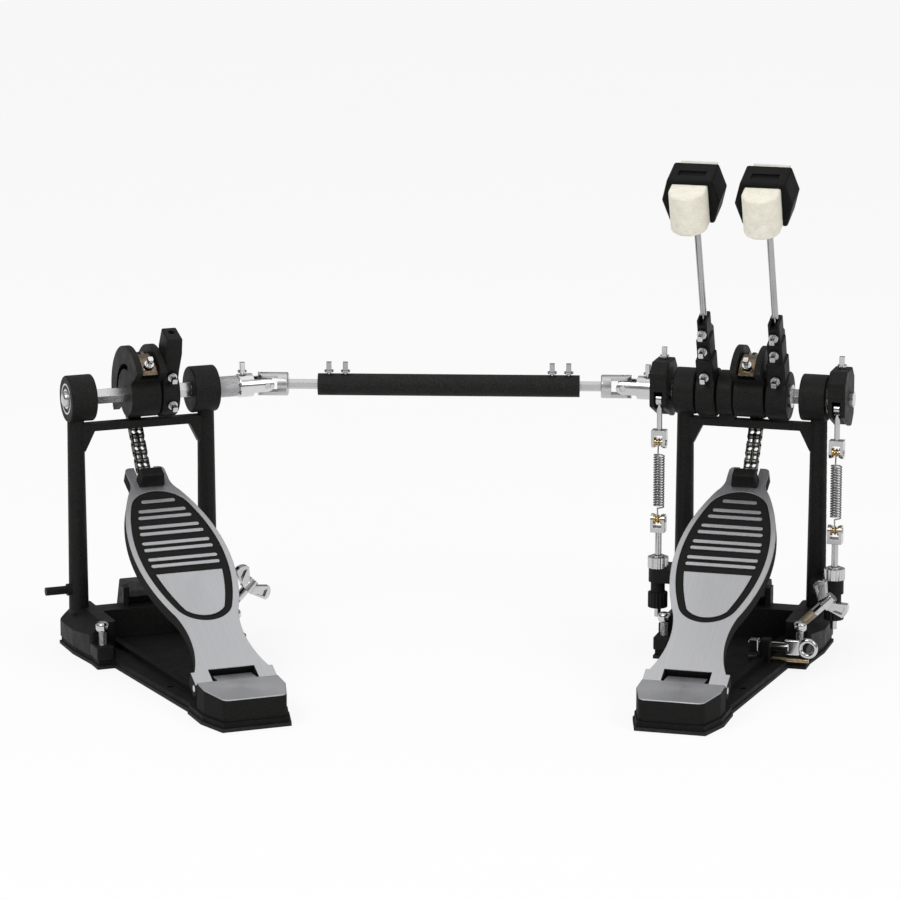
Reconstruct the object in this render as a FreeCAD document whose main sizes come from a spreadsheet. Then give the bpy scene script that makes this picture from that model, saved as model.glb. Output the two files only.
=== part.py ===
"""Double bass drum pedal: two chain-driven foot pedals joined by a drive shaft, with two beaters."""
import FreeCAD
import Part
import Sketcher
import math
import operator
import os
from types import SimpleNamespace

Vector = FreeCAD.Vector
Rotation = FreeCAD.Rotation
Placement = FreeCAD.Placement

# Driving dimensions in millimetres and degrees. Each pedal has its own frame: X across to the
# player's right, Y towards the drum, Z up, with its origin on the floor below the middle of its axle.
SIZES = {
    # How far the pedals stand from the ends of the tube between them, and how far each is turned
    "left_reach": 161.4,
    "left_y": 130.8,
    "left_turn": 21.3,
    "right_reach": 152.0,
    "right_y": 127.7,
    "right_turn": -15.9,
    # Roundings
    "rim_round": 1.5,
    "edge_round": 1.4,
    "foot_round": 4.0,
    # Sole, base plate and hoop tongue
    "sole_thickness": 3.0,
    "plate_thickness": 5.0,
    "plate_inset": 1.5,
    "plate_heel_gap": 12.0,
    "plate_heel_half": 38.0,
    "tongue_half": 28.0,
    "tongue_rear": 38.0,
    "rib_height": 5.0,
    "rib_width": 7.0,
    "rib_front_offset": 20.0,
    "rib_rear_offset": 38.0,
    "rib_front_gap": 22.0,
    "plate_hole_radius": 3.2,
    "plate_hole_gap": 70.0,
    "plate_hole_offset": 35.0,
    # Feet of the frame
    "foot_inner": 46.0,
    "foot_outer": 75.0,
    "foot_rear": 18.0,
    "foot_bend": 24.0,
    "foot_front": 64.0,
    "foot_front_outer": 70.0,
    "foot_height": 29.5,
    "foot_chamfer_width": 16.0,
    "foot_chamfer_height": 15.0,
    "pad_front": 84.0,
    "pad_inner": 54.0,
    "pad_height": 12.0,
    "wall_front": 14.0,
    "wall_rear": 8.0,
    "wall_height": 27.0,
    # Posts, crossbar and bearing bosses
    "axle_height": 230.0,
    "post_offset": 61.4,
    "post_foot_radius": 9.0,
    "post_top_radius": 7.5,
    "boss_radius": 21.0,
    "boss_outer": 70.0,
    "boss_length": 24.0,
    "slave_boss_length": 20.0,
    "crossbar_drop": 23.5,
    "crossbar_height": 7.0,
    "crossbar_depth": 10.0,
    "gusset_reach": 9.0,
    "gusset_drop": 18.0,
    "bearing_radius": 14.0,
    "bearing_length": 9.0,
    "bearing_lip": 1.0,
    "bearing_groove_outer": 12.4,
    "bearing_groove_inner": 9.0,
    "peg_radius": 3.75,
    "peg_height": 54.0,
    "peg_reach": 31.0,
    "peg_length": 20.0,
    "peg_collar": 5.5,
    # Heel block and hinge
    "hinge_height": 24.5,
    "hinge_pin_radius": 3.0,
    "hinge_half": 37.0,
    "knuckle_radius": 7.0,
    "heel_gap": 1.0,
    "heel_side_reach": 27.0,
    "heel_front_reach": 56.0,
    "heel_half_front": 28.0,
    "heel_flange": 3.0,
    "heel_drop": 4.5,
    "heel_round": 7.0,
    "heel_tongue_half": 17.5,
    "heel_tongue_reach": 8.0,
    # Footboard, in its own frame: X across, Y along from the hinge pin, Z out of its top
    "toe_drop": 76.44,
    "toe_setback": 7.94,
    "board_thickness": 11.0,
    "board_skin": 4.0,
    "board_rim": 5.0,
    "board_start": 2.0,
    "heel_end_half": 36.0,
    "waist_along": 47.0,
    "waist_half": 25.0,
    "flare_along": 86.0,
    "flare_half": 28.6,
    "wide_along": 168.0,
    "wide_half": 43.7,
    "neck_back": 34.0,
    "neck_half": 23.5,
    "toe_half": 18.5,
    "toe_length": 288.0,
    "toe_round": 5.0,
    "notch_half": 21.0,
    "notch_end": 14.5,
    "slot_half": 9.2,
    "slot_depth": 15.0,
    "inlay_depth": 1.2,
    "inlay_start": 76.8,
    "inlay_end_back": 33.8,
    "inlay_margin": 4.7,
    "inlay_band": 7.0,
    "pad_top_along": 141.8,
    "bar_width": 4.0,
    "bar_gap": 7.0,
    "bar_last_back": 14.0,
    "pad_bar_gap": 10.5,
    "bar_pair_gap": 8.8,
    "bar_pair_step": 21.8,
    "toe_pin_back": 6.6,
    "toe_pin_rise": 0.5,
    "toe_pin_radius": 2.0,
    "cap_back": 28.0,
    "cap_length": 11.0,
    "cap_height": 14.0,
    "cap_half": 12.5,
    "cap_top_half": 10.0,
    # Axles, cam and chain
    "journal_radius": 7.0,
    "axle_flats": 13.0,
    "running_gap": 0.05,
    "axle_end": 3.5,
    "washer_radius": 10.5,
    "washer_thickness": 2.0,
    "washer_gap": 0.2,
    "cam_half": 14.0,
    "cam_hub_radius": 21.0,
    "cam_flange_radius": 44.0,
    "cam_groove_half": 8.2,
    "cam_groove_gap": 0.6,
    "cam_start": 60.5,
    "cam_end": 235.0,
    "chain_pitch": 8.0,
    "chain_radius": 34.0,
    "chain_plate_radius": 3.55,
    "chain_plate": 0.8,
    "chain_strand": 5.64,
    "chain_inner_half": 1.55,
    "chain_roller_radius": 2.5,
    "chain_pin_radius": 1.15,
    "chain_pin_gap": 0.1,
    "chain_eye_gap": 1.8,
    "strap_thickness": 2.2,
    # Beater hubs, rods and heads, in a frame that leans with the rod
    "beater_lean": 20.0,
    "hub_radius": 22.0,
    "hub_width": 17.5,
    "hub_top": 80.0,
    "hub_front": 13.0,
    "hub_rear": 14.0,
    "hub_step": 1.6,
    "hub_low_top": 40.0,
    "hub_middle_top": 60.0,
    "hub_socket_rear": 8.5,
    "hub_fin": 9.0,
    "hub_slot": 6.0,
    "left_hub_start": 15.0,
    "left_hub_width": 16.0,
    "left_hub_top": 62.0,
    "slave_hub_start": -48.5,
    "main_hub_start": 16.0,
    "main_hub_width": 19.0,
    "rod_radius": 3.0,
    "rod_foot": 44.0,
    "head_centre": 205.0,
    "housing_height": 42.0,
    "housing_depth": 34.0,
    "housing_half": 26.0,
    "housing_top_half": 20.0,
    "housing_round": 2.5,
    "felt_half": 16.5,
    "felt_height": 38.0,
    "felt_front": 26.0,
    "felt_rear": 8.0,
    "face_thickness": 2.0,
    # Bearing block on the crossbar of the right pedal
    "block_outer": 29.5,
    "block_inner": 15.0,
    "block_radius": 20.5,
    # Universal joints and drive shaft
    "cross_offset": 118.0,
    "yoke_radius": 10.7,
    "yoke_start": 91.5,
    "yoke_floor": 12.5,
    "yoke_ear_reach": 7.0,
    "yoke_ear_half": 6.0,
    "yoke_ear_inner": 6.2,
    "yoke_outer_end": 22.0,
    "sleeve_radius": 9.5,
    "sleeve_start": 71.0,
    "sleeve_end": 89.5,
    "cross_half": 5.4,
    "cross_pin_radius": 2.5,
    "cross_pin_half": 10.2,
    "cross_open_gap": 0.7,
    "rod_flats": 8.0,
    "rod_slide_gap": 0.1,
    "rod_engagement": 96.0,
    "tube_start": 49.0,
    "tube_length": 238.0,
    "tube_radius": 10.0,
    "tube_screw_first": 10.0,
    "tube_screw_step": 15.0,
    # Square-headed key screws
    "screw_radius": 2.0,
    "screw_depth": 4.5,
    "screw_flange_radius": 4.3,
    "screw_flange": 1.6,
    "screw_head": 4.6,
    "screw_head_height": 7.5,
    "screw_stand": 1.6,
    "screw_round": 0.8,
    # Return springs of the two beaters
    "arm_start": 73.5,
    "arm_width": 16.0,
    "arm_front": 25.5,
    "arm_rear": 19.0,
    "arm_top": 28.0,
    "arm_bottom": 25.6,
    "arm_nose": 12.0,
    "arm_relief": 6.4,
    "arm_slot": 8.0,
    "spring_offset": 81.5,
    "spring_y": 17.75,
    "rocker_radius": 18.5,
    "rocker_rest": 18.45,
    "rocker_pin_radius": 2.0,
    "eye_gap": 1.2,
    "eye_radius": 5.4,
    "hook_width": 5.0,
    "spring_drop": 54.0,
    "spring_bottom": 121.0,
    "spring_radius": 5.3,
    "spring_wire": 1.4,
    "spring_pitch": 2.2,
    "spring_lead": 3.1,
    "spring_end_gap": 0.3,
    "clevis_half": 6.5,
    "clevis_depth": 10.4,
    "clevis_height": 17.0,
    "clevis_gap": 2.8,
    "clevis_slot": 7.6,
    "clevis_web": 4.5,
    "clevis_eye_depth": 5.4,
    "eye_pin_radius": 2.4,
    "spool_core": 2.6,
    "spool_radius": 4.4,
    "spool_rim": 1.5,
    "bush_rim": 0.7,
    "tension_radius": 3.0,
    "tension_foot": 22.0,
    "nut_radius": 9.5,
    "nut_height": 10.0,
    "nut_ridges": 24,
    "nut_ridge": 0.7,
    "bracket_top": 68.0,
    "bracket_height": 13.0,
    "bracket_radius": 8.5,
    "neck_radius": 6.5,
    "neck_height": 10.0,
    "lock_radius": 9.0,
    "lock_height": 14.0,
    "lock_ridges": 16,
    # Wing bolts, spike screws and hoop clamps
    "bolt_x": 62.5,
    "bolt_y": 55.0,
    "bolt_height": 37.2,
    "bolt_rise": 44.0,
    "bolt_radius": 4.0,
    "bolt_gap": 0.1,
    "bolt_sunk": 18.0,
    "bolt_neck": 23.0,
    "wing_half": 19.5,
    "wing_height": 17.0,
    "wing_thickness": 8.0,
    "wing_web": 1.8,
    "wing_rim": 1.6,
    "spike_offset": 62.0,
    "spike_y": 74.0,
    "spike_radius": 3.5,
    "spike_head_radius": 6.0,
    "spike_head": 9.0,
    "spike_round": 3.4,
    "spike_rise": 12.0,
    "jaw_half": 15.0,
    "jaw_front": 6.0,
    "jaw_rear": 36.0,
    "jaw_height": 22.0,
    "jaw_top": 56.0,
    "jaw_pivot_y": 2.0,
    "jaw_pivot_height": 46.0,
    "jaw_pin_radius": 3.0,
    "lug_width": 5.0,
    "lug_gap": 0.4,
    # Tuning key clipped to the base of the right pedal
    "key_y": 93.0,
    "key_height": 22.0,
    "key_start": 20.0,
    "key_length": 32.0,
    "key_radius": 4.0,
    "key_nose": 5.5,
    "key_plate": 4.6,
    "key_ring": 7.0,
    "clip_rod_radius": 1.8,
    "clip_rod_height": 10.4,
    "clip_rod_length": 54.0,
    "clip_start": 31.0,
    "clip_width": 9.0,
    "clip_half": 6.5,
}

doc = FreeCAD.newDocument("double_bass_drum_pedal")
sheet = doc.addObject("Spreadsheet::Sheet", "sizes")
for row, (alias, value) in enumerate(SIZES.items(), start=1):
    sheet.set("A%d" % row, alias)
    sheet.set("B%d" % row, str(value))
    sheet.setAlias("B%d" % row, alias)
doc.recompute()


class Size:
    """A number together with the sheet expression that gives it."""

    def __init__(self, value, text):
        self.value = value
        self.text = text

    def __add__(self, other):
        return combine(self, "+", other)

    def __radd__(self, other):
        return combine(other, "+", self)

    def __sub__(self, other):
        return combine(self, "-", other)

    def __rsub__(self, other):
        return combine(other, "-", self)

    def __mul__(self, other):
        return combine(self, "*", other)

    def __rmul__(self, other):
        return combine(other, "*", self)

    def __truediv__(self, other):
        return combine(self, "/", other)

    def __neg__(self):
        return combine(0.0, "-", self)


SUMS = {"+": operator.add, "-": operator.sub, "*": operator.mul, "/": operator.truediv}


def num(amount):
    """The plain number of a size or of a number."""
    return amount.value if isinstance(amount, Size) else float(amount)


def words(amount):
    """The expression text of a size or of a number."""
    return amount.text if isinstance(amount, Size) else "%.9f" % amount


def combine(first, sign, second):
    """A size made of two others."""
    value = SUMS[sign](num(first), num(second))
    return Size(value, "(%s %s %s)" % (words(first), sign, words(second)))


s = SimpleNamespace(**{alias: Size(float(value), "sizes." + alias) for alias, value in SIZES.items()})


def root(amount):
    """The square root of a size."""
    return Size(math.sqrt(num(amount)), "sqrt(%s)" % words(amount))


# Sizes that follow from others: the pedals stand apart by the tube, and the heel stands where the
# footboard, at its length, brings the toe below the axle.
s.left_x = -s.tube_length / 2 - s.left_reach
s.right_x = s.tube_length / 2 + s.right_reach
s.toe_pin_along = s.toe_length - s.toe_pin_back
s.toe_rise = s.axle_height - s.toe_drop - s.hinge_height
s.board_run = root(s.toe_pin_along * s.toe_pin_along - s.toe_rise * s.toe_rise)
s.hinge_y = s.board_run + s.toe_setback
s.plate_heel = s.hinge_y - s.plate_heel_gap
s.rib_front = s.hinge_y - s.rib_front_gap
s.plate_hole_y = s.hinge_y - s.plate_hole_gap
s.heel_side = s.hinge_y + s.heel_side_reach
s.heel_front = s.hinge_y + s.heel_front_reach
s.neck_along = s.toe_length - s.neck_back
s.slot_start = s.toe_length - s.slot_depth
s.cap_along = s.toe_length - s.cap_back
s.inlay_end = s.toe_length - s.inlay_end_back
s.spring_top = s.axle_height - s.spring_drop
BOARD_SLOPE = math.degrees(math.atan2(num(s.toe_rise), num(s.board_run)))
BASE_TOP = s.sole_thickness + s.plate_thickness
FOOT_TOP = BASE_TOP + s.foot_height
CROSSBAR_TOP = s.axle_height - s.crossbar_drop
NODES = []


def bind(item, place, amount):
    """Tie a property to the sheet."""
    if isinstance(amount, Size):
        item.setExpression(place, amount.text)


def set_size(item, place, amount):
    """Set a property and tie it to the sheet."""
    setattr(item, place, num(amount))
    bind(item, place, amount)


def move(item, at, rotation):
    """Place an object at a point whose coordinates are tied to the sheet."""
    item.Placement = Placement(Vector(*[num(part) for part in at]), rotation)
    for axis, amount in zip("xyz", at):
        bind(item, ".Placement.Base." + axis, amount)


TURNS = {
    "x": Rotation(Vector(0, 1, 0), 90),
    "y": Rotation(Vector(1, 0, 0), -90),
    "z": Rotation(),
}


def cylinder(radius, length, at, along="z"):
    """A cylinder that starts at a point and runs along an axis."""
    item = doc.addObject("Part::Cylinder", "cylinder")
    set_size(item, "Radius", radius)
    set_size(item, "Height", length)
    move(item, at, TURNS[along])
    return item


def cone(radius, top_radius, length, at, along="z"):
    """A cone frustum that starts at a point and runs along an axis."""
    item = doc.addObject("Part::Cone", "cone")
    set_size(item, "Radius1", radius)
    set_size(item, "Radius2", top_radius)
    set_size(item, "Height", length)
    move(item, at, TURNS[along])
    return item


def box(low, high):
    """A box between two opposite corners."""
    item = doc.addObject("Part::Box", "box")
    for place, first, last in zip(("Length", "Width", "Height"), low, high):
        set_size(item, place, last - first)
    move(item, low, Rotation())
    return item


def fuse(*members):
    """One solid out of several that overlap or touch."""
    item = doc.addObject("Part::MultiFuse", "fuse")
    item.Shapes = list(members)
    item.Refine = True
    return item


def cut(base, *tools):
    """A solid less one or more tools."""
    item = doc.addObject("Part::Cut", "cut")
    item.Base = base
    item.Tool = tools[0] if len(tools) == 1 else fuse(*tools)
    item.Refine = True
    return item


def group(*members):
    """Several separate solids that share a node."""
    item = doc.addObject("Part::Compound", "group")
    item.Links = list(members)
    return item


def rounded(base, radius, pick):
    """A solid with some of its edges rounded."""
    doc.recompute()
    item = doc.addObject("Part::Fillet", "rounded")
    item.Base = base
    chosen = [number for number, edge in enumerate(base.Shape.Edges, start=1) if pick(edge)]
    item.Edges = [(number, num(radius), num(radius)) for number in chosen]
    return item


def upright(edge):
    """True for a straight edge parallel to Z."""
    first, last = edge.firstVertex().Point, edge.lastVertex().Point
    across = math.hypot(last.x - first.x, last.y - first.y)
    return across < 1e-6 and abs(last.z - first.z) > 1e-6


def circular(edge):
    """True for a round edge."""
    return isinstance(edge.Curve, Part.Circle)


def every(edge):
    """True for any edge."""
    return True


def barrel(radius, length, at, along="z"):
    """A cylinder with rounded rims."""
    return rounded(cylinder(radius, length, at, along), s.rim_round, circular)


def block(low, high):
    """A box with all its edges rounded."""
    return rounded(box(low, high), s.edge_round, every)


def ridged(centre, radius, ridge, count, low, high):
    """An upright disc with a ridged rim."""
    corners = []
    for index in range(2 * count):
        angle = math.pi * index / count
        reach = radius if index % 2 else radius - ridge
        corners.append((centre[0] + reach * math.cos(angle), centre[1] + reach * math.sin(angle)))
    return prism("xy", corners, low, high)


def pin_corner(geometry, place, amount, kind, axis):
    """The constraint that holds one coordinate of a sketch corner."""
    if abs(num(amount)) < 1e-9:
        return Sketcher.Constraint("PointOnObject", geometry, place, axis)
    return Sketcher.Constraint(kind, -1, 1, geometry, place, num(amount))


def hold(sketch, limits, amounts):
    """Add constraints and tie those with a size to the sheet."""
    for number, amount in zip(sketch.addConstraint(limits), amounts):
        if isinstance(amount, Size) and abs(amount.value) > 1e-9:
            sketch.setExpression("Constraints[%d]" % number, amount.text)


def draw_circle(sketch, centre, radius):
    """A circle held by its centre and radius."""
    middle = Vector(num(centre[0]), num(centre[1]), 0)
    geometry = sketch.addGeometry(Part.Circle(middle, Vector(0, 0, 1), num(radius)), False)
    limits = [
        pin_corner(geometry, 3, centre[0], "DistanceX", -2),
        pin_corner(geometry, 3, centre[1], "DistanceY", -1),
        Sketcher.Constraint("Radius", geometry, num(radius)),
    ]
    hold(sketch, limits, [centre[0], centre[1], radius])


def draw(sketch, outline):
    """A closed outline of corners; a corner's third item is the middle of an arc to the next one."""
    if outline[0] == "circle":
        draw_circle(sketch, outline[1], outline[2])
        return
    corners = [Vector(num(corner[0]), num(corner[1]), 0) for corner in outline]
    edges = []
    for index, corner in enumerate(outline):
        start, end = corners[index], corners[(index + 1) % len(corners)]
        if len(corner) == 3:
            middle = Vector(num(corner[2][0]), num(corner[2][1]), 0)
            number = sketch.addGeometry(Part.Arc(start, middle, end), False)
            forward = sketch.getPoint(number, 1).distanceToPoint(start) < 1e-6
            edges.append((number, 1, 2) if forward else (number, 2, 1))
        else:
            edges.append((sketch.addGeometry(Part.LineSegment(start, end), False), 1, 2))
    limits, amounts = [], []
    for index, (number, first, last) in enumerate(edges):
        following = edges[(index + 1) % len(edges)]
        limits.append(Sketcher.Constraint("Coincident", number, last, following[0], following[1]))
        limits.append(pin_corner(number, first, outline[index][0], "DistanceX", -2))
        limits.append(pin_corner(number, first, outline[index][1], "DistanceY", -1))
        amounts.extend([None, outline[index][0], outline[index][1]])
    hold(sketch, limits, amounts)


PLANES = {
    "xy": (Rotation(), Vector(0, 0, 1), 2),
    "yz": (Rotation(Vector(1, 1, 1), 120), Vector(1, 0, 0), 0),
    "xz": (Rotation(Vector(1, 0, 0), 90), Vector(0, 1, 0), 1),
}


def prism(plane, outline, start, end):
    """A solid drawn in a plane and extruded along the third axis from start to end."""
    rotation, normal, axis = PLANES[plane]
    sketch = doc.addObject("Sketcher::SketchObject", "outline")
    draw(sketch, outline)
    at = [0.0, 0.0, 0.0]
    at[axis] = start
    move(sketch, at, rotation)
    item = doc.addObject("Part::Extrusion", "prism")
    item.Base = sketch
    item.DirMode = "Custom"
    item.Dir = normal
    item.Solid = True
    set_size(item, "LengthFwd", end - start)
    return item


def mirrored(right):
    """An outline's right side, from top to bottom, joined to its mirror image."""
    left = []
    for index in range(len(right) - 1, -1, -1):
        corner = (-right[index][0], right[index][1])
        if index > 0 and len(right[index - 1]) == 3:
            middle = right[index - 1][2]
            corner = corner + ((-middle[0], middle[1]),)
        left.append(corner)
    return list(right) + left


def body_sketch(body, role, outlines, start):
    """A sketch on one of a body's own origin planes, moved along its normal."""
    plane = [item for item in body.Origin.OriginFeatures if item.Role == role][0]
    sketch = body.newObject("Sketcher::SketchObject", "outline")
    sketch.AttachmentSupport = [(plane, "")]
    sketch.MapMode = "FlatFace"
    sketch.AttachmentOffset = Placement(Vector(0, 0, num(start)), Rotation())
    bind(sketch, ".AttachmentOffset.Base.z", start)
    for outline in outlines:
        draw(sketch, outline)
    return sketch


def pad(body, role, outlines, start, length):
    """Add material to a body from a plane in the direction of its normal."""
    feature = body.newObject("PartDesign::Pad", "pad")
    feature.Profile = body_sketch(body, role, outlines, start)
    set_size(feature, "Length", length)
    doc.recompute()
    return feature


def pocket(body, role, outlines, start, depth, forward=False):
    """Take material from a body, against a plane's normal or along it."""
    before = body.Shape.Volume
    feature = body.newObject("PartDesign::Pocket", "pocket")
    feature.Profile = body_sketch(body, role, outlines, start)
    feature.Reversed = forward
    set_size(feature, "Length", depth)
    doc.recompute()
    if body.Shape.Volume >= before:
        raise RuntimeError("a pocket in %s cuts nothing" % body.Label)
    return feature


def body_fillet(body, radius, pick):
    """Round some edges of a body as it stands."""
    last = body.Tip
    names = ["Edge%d" % number for number, edge in enumerate(last.Shape.Edges, start=1) if pick(edge)]
    feature = body.newObject("PartDesign::Fillet", "fillet")
    feature.Base = (last, names)
    set_size(feature, "Radius", radius)
    doc.recompute()
    return feature


def rectangle(low, high):
    """The four corners of a rectangle."""
    return [(low[0], low[1]), (high[0], low[1]), (high[0], high[1]), (low[0], high[1])]


def hexagon(flats, centre, turn=0.0):
    """A hexagon given by its width across flats, turned by some degrees."""
    corners = []
    for index in range(6):
        angle = math.radians(60 * index + 30 + turn)
        reach = flats / math.sqrt(3)
        corners.append((centre[0] + reach * math.cos(angle), centre[1] + reach * math.sin(angle)))
    return corners


def add_node(item, label):
    """Name a finished sub-part."""
    item.Label = label
    NODES.append(item)


def pose(side):
    """The placement of a pedal's own frame."""
    base = Vector(num(getattr(s, side + "_x")), num(getattr(s, side + "_y")), 0)
    return Placement(base, Rotation(Vector(0, 0, 1), num(getattr(s, side + "_turn"))))


def stand(item, label, side):
    """Place a sub-part that was drawn in a pedal's own frame."""
    item.Placement = Placement(Vector(), Rotation(Vector(0, 0, 1), 0))
    bind(item, ".Placement.Base.x", getattr(s, side + "_x"))
    bind(item, ".Placement.Base.y", getattr(s, side + "_y"))
    bind(item, ".Placement.Rotation.Angle", getattr(s, side + "_turn"))
    add_node(item, side + "_" + label if not label.startswith("=") else label[1:])


def stand_in(item, label, side, inner):
    """Place a sub-part that was drawn in a frame of its own within a pedal."""
    item.Placement = pose(side).multiply(inner)
    add_node(item, label)


def leaning_frame():
    """The frame of the beaters: origin on the axle, Z along the beater rod."""
    return Placement(Vector(0, 0, num(s.axle_height)), Rotation(Vector(1, 0, 0), num(s.beater_lean)))


def board_frame():
    """The frame of the footboard: origin on the hinge pin, Y along the board."""
    return Placement(Vector(0, -num(s.hinge_y), num(s.hinge_height)), Rotation(Vector(1, 0, 0), BOARD_SLOPE))


def key_screw(at, direction):
    """A set screw with a flange and a square head; it stands on a point and points away from it."""
    shank = cylinder(s.screw_radius, s.screw_depth, (0, 0, -s.screw_depth))
    neck = cylinder(s.screw_radius, s.screw_stand, (0, 0, 0))
    flange = cylinder(s.screw_flange_radius, s.screw_flange, (0, 0, s.screw_stand))
    foot_height = s.screw_stand + s.screw_flange
    half = s.screw_head / 2
    head = box((-half, -half, foot_height), (half, half, foot_height + s.screw_head_height))
    item = fuse(shank, neck, flange, rounded(head, s.screw_round, upright))
    item.Placement = Placement(Vector(*[num(part) for part in at]), Rotation(Vector(0, 0, 1), Vector(*direction)))
    return item


def screw_hole(at, direction):
    """The hole that a key screw's shank goes into."""
    item = cylinder(s.screw_radius + s.running_gap, s.screw_depth + s.screw_flange, (0, 0, -s.screw_depth))
    spot = Vector(*[num(part) for part in at])
    item.Placement = Placement(spot, Rotation(Vector(0, 0, 1), Vector(*direction))).multiply(item.Placement)
    item.setExpression(".Placement.Base.z", None)
    return item


# Base of a pedal

def base_outline(grow):
    """The outline of the sole or the base plate, seen from above."""
    heel_half = s.hinge_half + s.heel_flange + grow
    front_half = s.heel_half_front + s.heel_flange + grow
    outer = s.foot_outer + grow
    pad_outer = s.foot_front_outer + grow
    return mirrored([
        (outer, s.foot_rear + grow),
        (outer, -s.foot_bend),
        (pad_outer, -s.foot_front),
        (pad_outer, -s.pad_front - grow),
        (s.pad_inner, -s.pad_front - grow),
        (s.plate_heel_half + grow, -s.plate_heel),
        (heel_half, -s.plate_heel - s.heel_flange),
        (heel_half, -s.heel_side),
        (front_half, -s.heel_front - s.heel_flange - grow),
    ])


def make_sole(side):
    stand(prism("xy", base_outline(0.0), 0.0, s.sole_thickness), "sole", side)


def base_rib(way):
    """A raised rib that runs from the cross wall to the heel on one side."""
    front, rear = s.rib_front_offset * way, s.rib_rear_offset * way
    half = s.rib_width / 2
    start = -s.wall_front - s.plate_inset
    corners = [(rear - half, start), (rear + half, start), (front + half, -s.rib_front), (front - half, -s.rib_front)]
    return prism("xy", corners, BASE_TOP, BASE_TOP + s.rib_height)


def make_base_plate(side):
    plate = prism("xy", base_outline(-s.plate_inset), s.sole_thickness, BASE_TOP)
    tongue = box((-s.tongue_half, 0, s.sole_thickness), (s.tongue_half, s.tongue_rear, BASE_TOP))
    members = [plate, tongue, base_rib(1), base_rib(-1)]
    holes = []
    for way in (-1, 1):
        at = (s.plate_hole_offset * way, -s.plate_hole_y, 0)
        holes.append(cylinder(s.plate_hole_radius, BASE_TOP * 2, at))
    if side == "right":
        members.append(key_clip())
        holes.extend(key_bores())
    stand(cut(fuse(*members), *holes), "base_plate", side)


# Frame of a pedal

def foot(way):
    """One foot of the frame: a tall block with a sloping outer shoulder, and a low pad in front."""
    plan = [
        (s.foot_inner * way, s.foot_rear),
        (s.foot_outer * way, s.foot_rear),
        (s.foot_outer * way, -s.foot_bend),
        (s.foot_front_outer * way, -s.foot_front),
        (s.foot_inner * way, -s.foot_front),
    ]
    body = rounded(prism("xy", plan, BASE_TOP, FOOT_TOP), s.foot_round, upright)
    shoulder = [
        ((s.foot_outer - s.foot_chamfer_width) * way, FOOT_TOP),
        (s.foot_outer * way, FOOT_TOP - s.foot_chamfer_height),
        ((s.foot_outer + s.foot_chamfer_width) * way, FOOT_TOP),
    ]
    slope = prism("xz", shoulder, -s.foot_front * 2, s.foot_rear * 2)
    low_pad = rectangle((s.pad_inner * way, -s.pad_front), (s.foot_front_outer * way, -s.foot_front + s.foot_round * 2))
    pad_block = rounded(prism("xy", low_pad, BASE_TOP, BASE_TOP + s.pad_height), s.edge_round, every)
    return fuse(cut(body, slope), pad_block)


def gusset(way):
    """The web below one end of the crossbar."""
    root = s.post_offset * way
    under = CROSSBAR_TOP - s.crossbar_height
    reach = (s.post_offset - s.post_top_radius - s.gusset_reach) * way
    corners = [(root, under), (reach, under), ((s.post_offset - s.post_top_radius) * way, under - s.gusset_drop),
               (root, under - s.gusset_drop)]
    return prism("xz", corners, -s.crossbar_depth / 2, s.crossbar_depth / 2)


def boss_length(side, way):
    """The length of a bearing boss; the slave side of the right pedal has a short one."""
    return s.slave_boss_length if (side, way) == ("right", -1) else s.boss_length


def boss_start(side, way, length):
    """Where a boss of some length starts, counted along X."""
    return s.boss_outer - length if way > 0 else -s.boss_outer


def spring_bracket(way):
    """The lug on a post that carries the lower end of a return spring, with its lock nut below."""
    at = (s.spring_offset * way, -s.spring_y)
    low = s.bracket_top - s.bracket_height
    start, end = sorted((s.post_offset * way, s.spring_offset * way), key=num)
    arm = box((start, -s.spring_y - s.bracket_radius, low), (end, s.post_foot_radius / 2, s.bracket_top))
    eye = cylinder(s.bracket_radius, s.bracket_height, at + (low,))
    neck = cylinder(s.neck_radius, s.neck_height, at + (low - s.neck_height,))
    foot_top = low - s.neck_height
    lock = ridged(at, s.lock_radius, s.nut_ridge, int(num(s.lock_ridges)), foot_top - s.lock_height, foot_top)
    return fuse(arm, eye, neck, lock)


def tension_bore(way):
    """The hole in a bracket for its tension rod."""
    at = (s.spring_offset * way, -s.spring_y, s.tension_foot)
    return cylinder(s.tension_radius + s.running_gap, s.bracket_top, at)


def jaw_lug(way):
    """A lug on the cross wall that carries the pivot of the hoop clamp."""
    inner = (s.jaw_half + s.lug_gap) * way
    outer = (s.jaw_half + s.lug_gap + s.lug_width) * way
    low, high = sorted((inner, outer), key=num)
    reach = s.jaw_pin_radius * 2
    return box((low, s.jaw_pivot_y - reach, BASE_TOP), (high, s.jaw_pivot_y + reach, s.jaw_pivot_height + reach))


def bolt_frame():
    """The frame of a wing bolt: origin where it enters the foot, Z outwards along the bolt."""
    rise = math.radians(num(s.bolt_rise))
    axis = Vector(math.cos(rise), 0, math.sin(rise))
    across = Vector(-math.sin(rise), 0, math.cos(rise))
    at = Vector(num(s.bolt_x), -num(s.bolt_y), num(s.bolt_height))
    return Placement(at, Rotation(across, Vector(0, 0, 0), axis, "ZXY"))


def bolt_bore():
    """The hole in the right foot for the wing bolt."""
    length = s.bolt_sunk + s.bolt_neck
    item = cylinder(s.bolt_radius + s.bolt_gap, length, (0, 0, 0))
    item.Placement = bolt_frame().multiply(Placement(Vector(0, 0, -num(s.bolt_sunk)), Rotation()))
    return item


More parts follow.
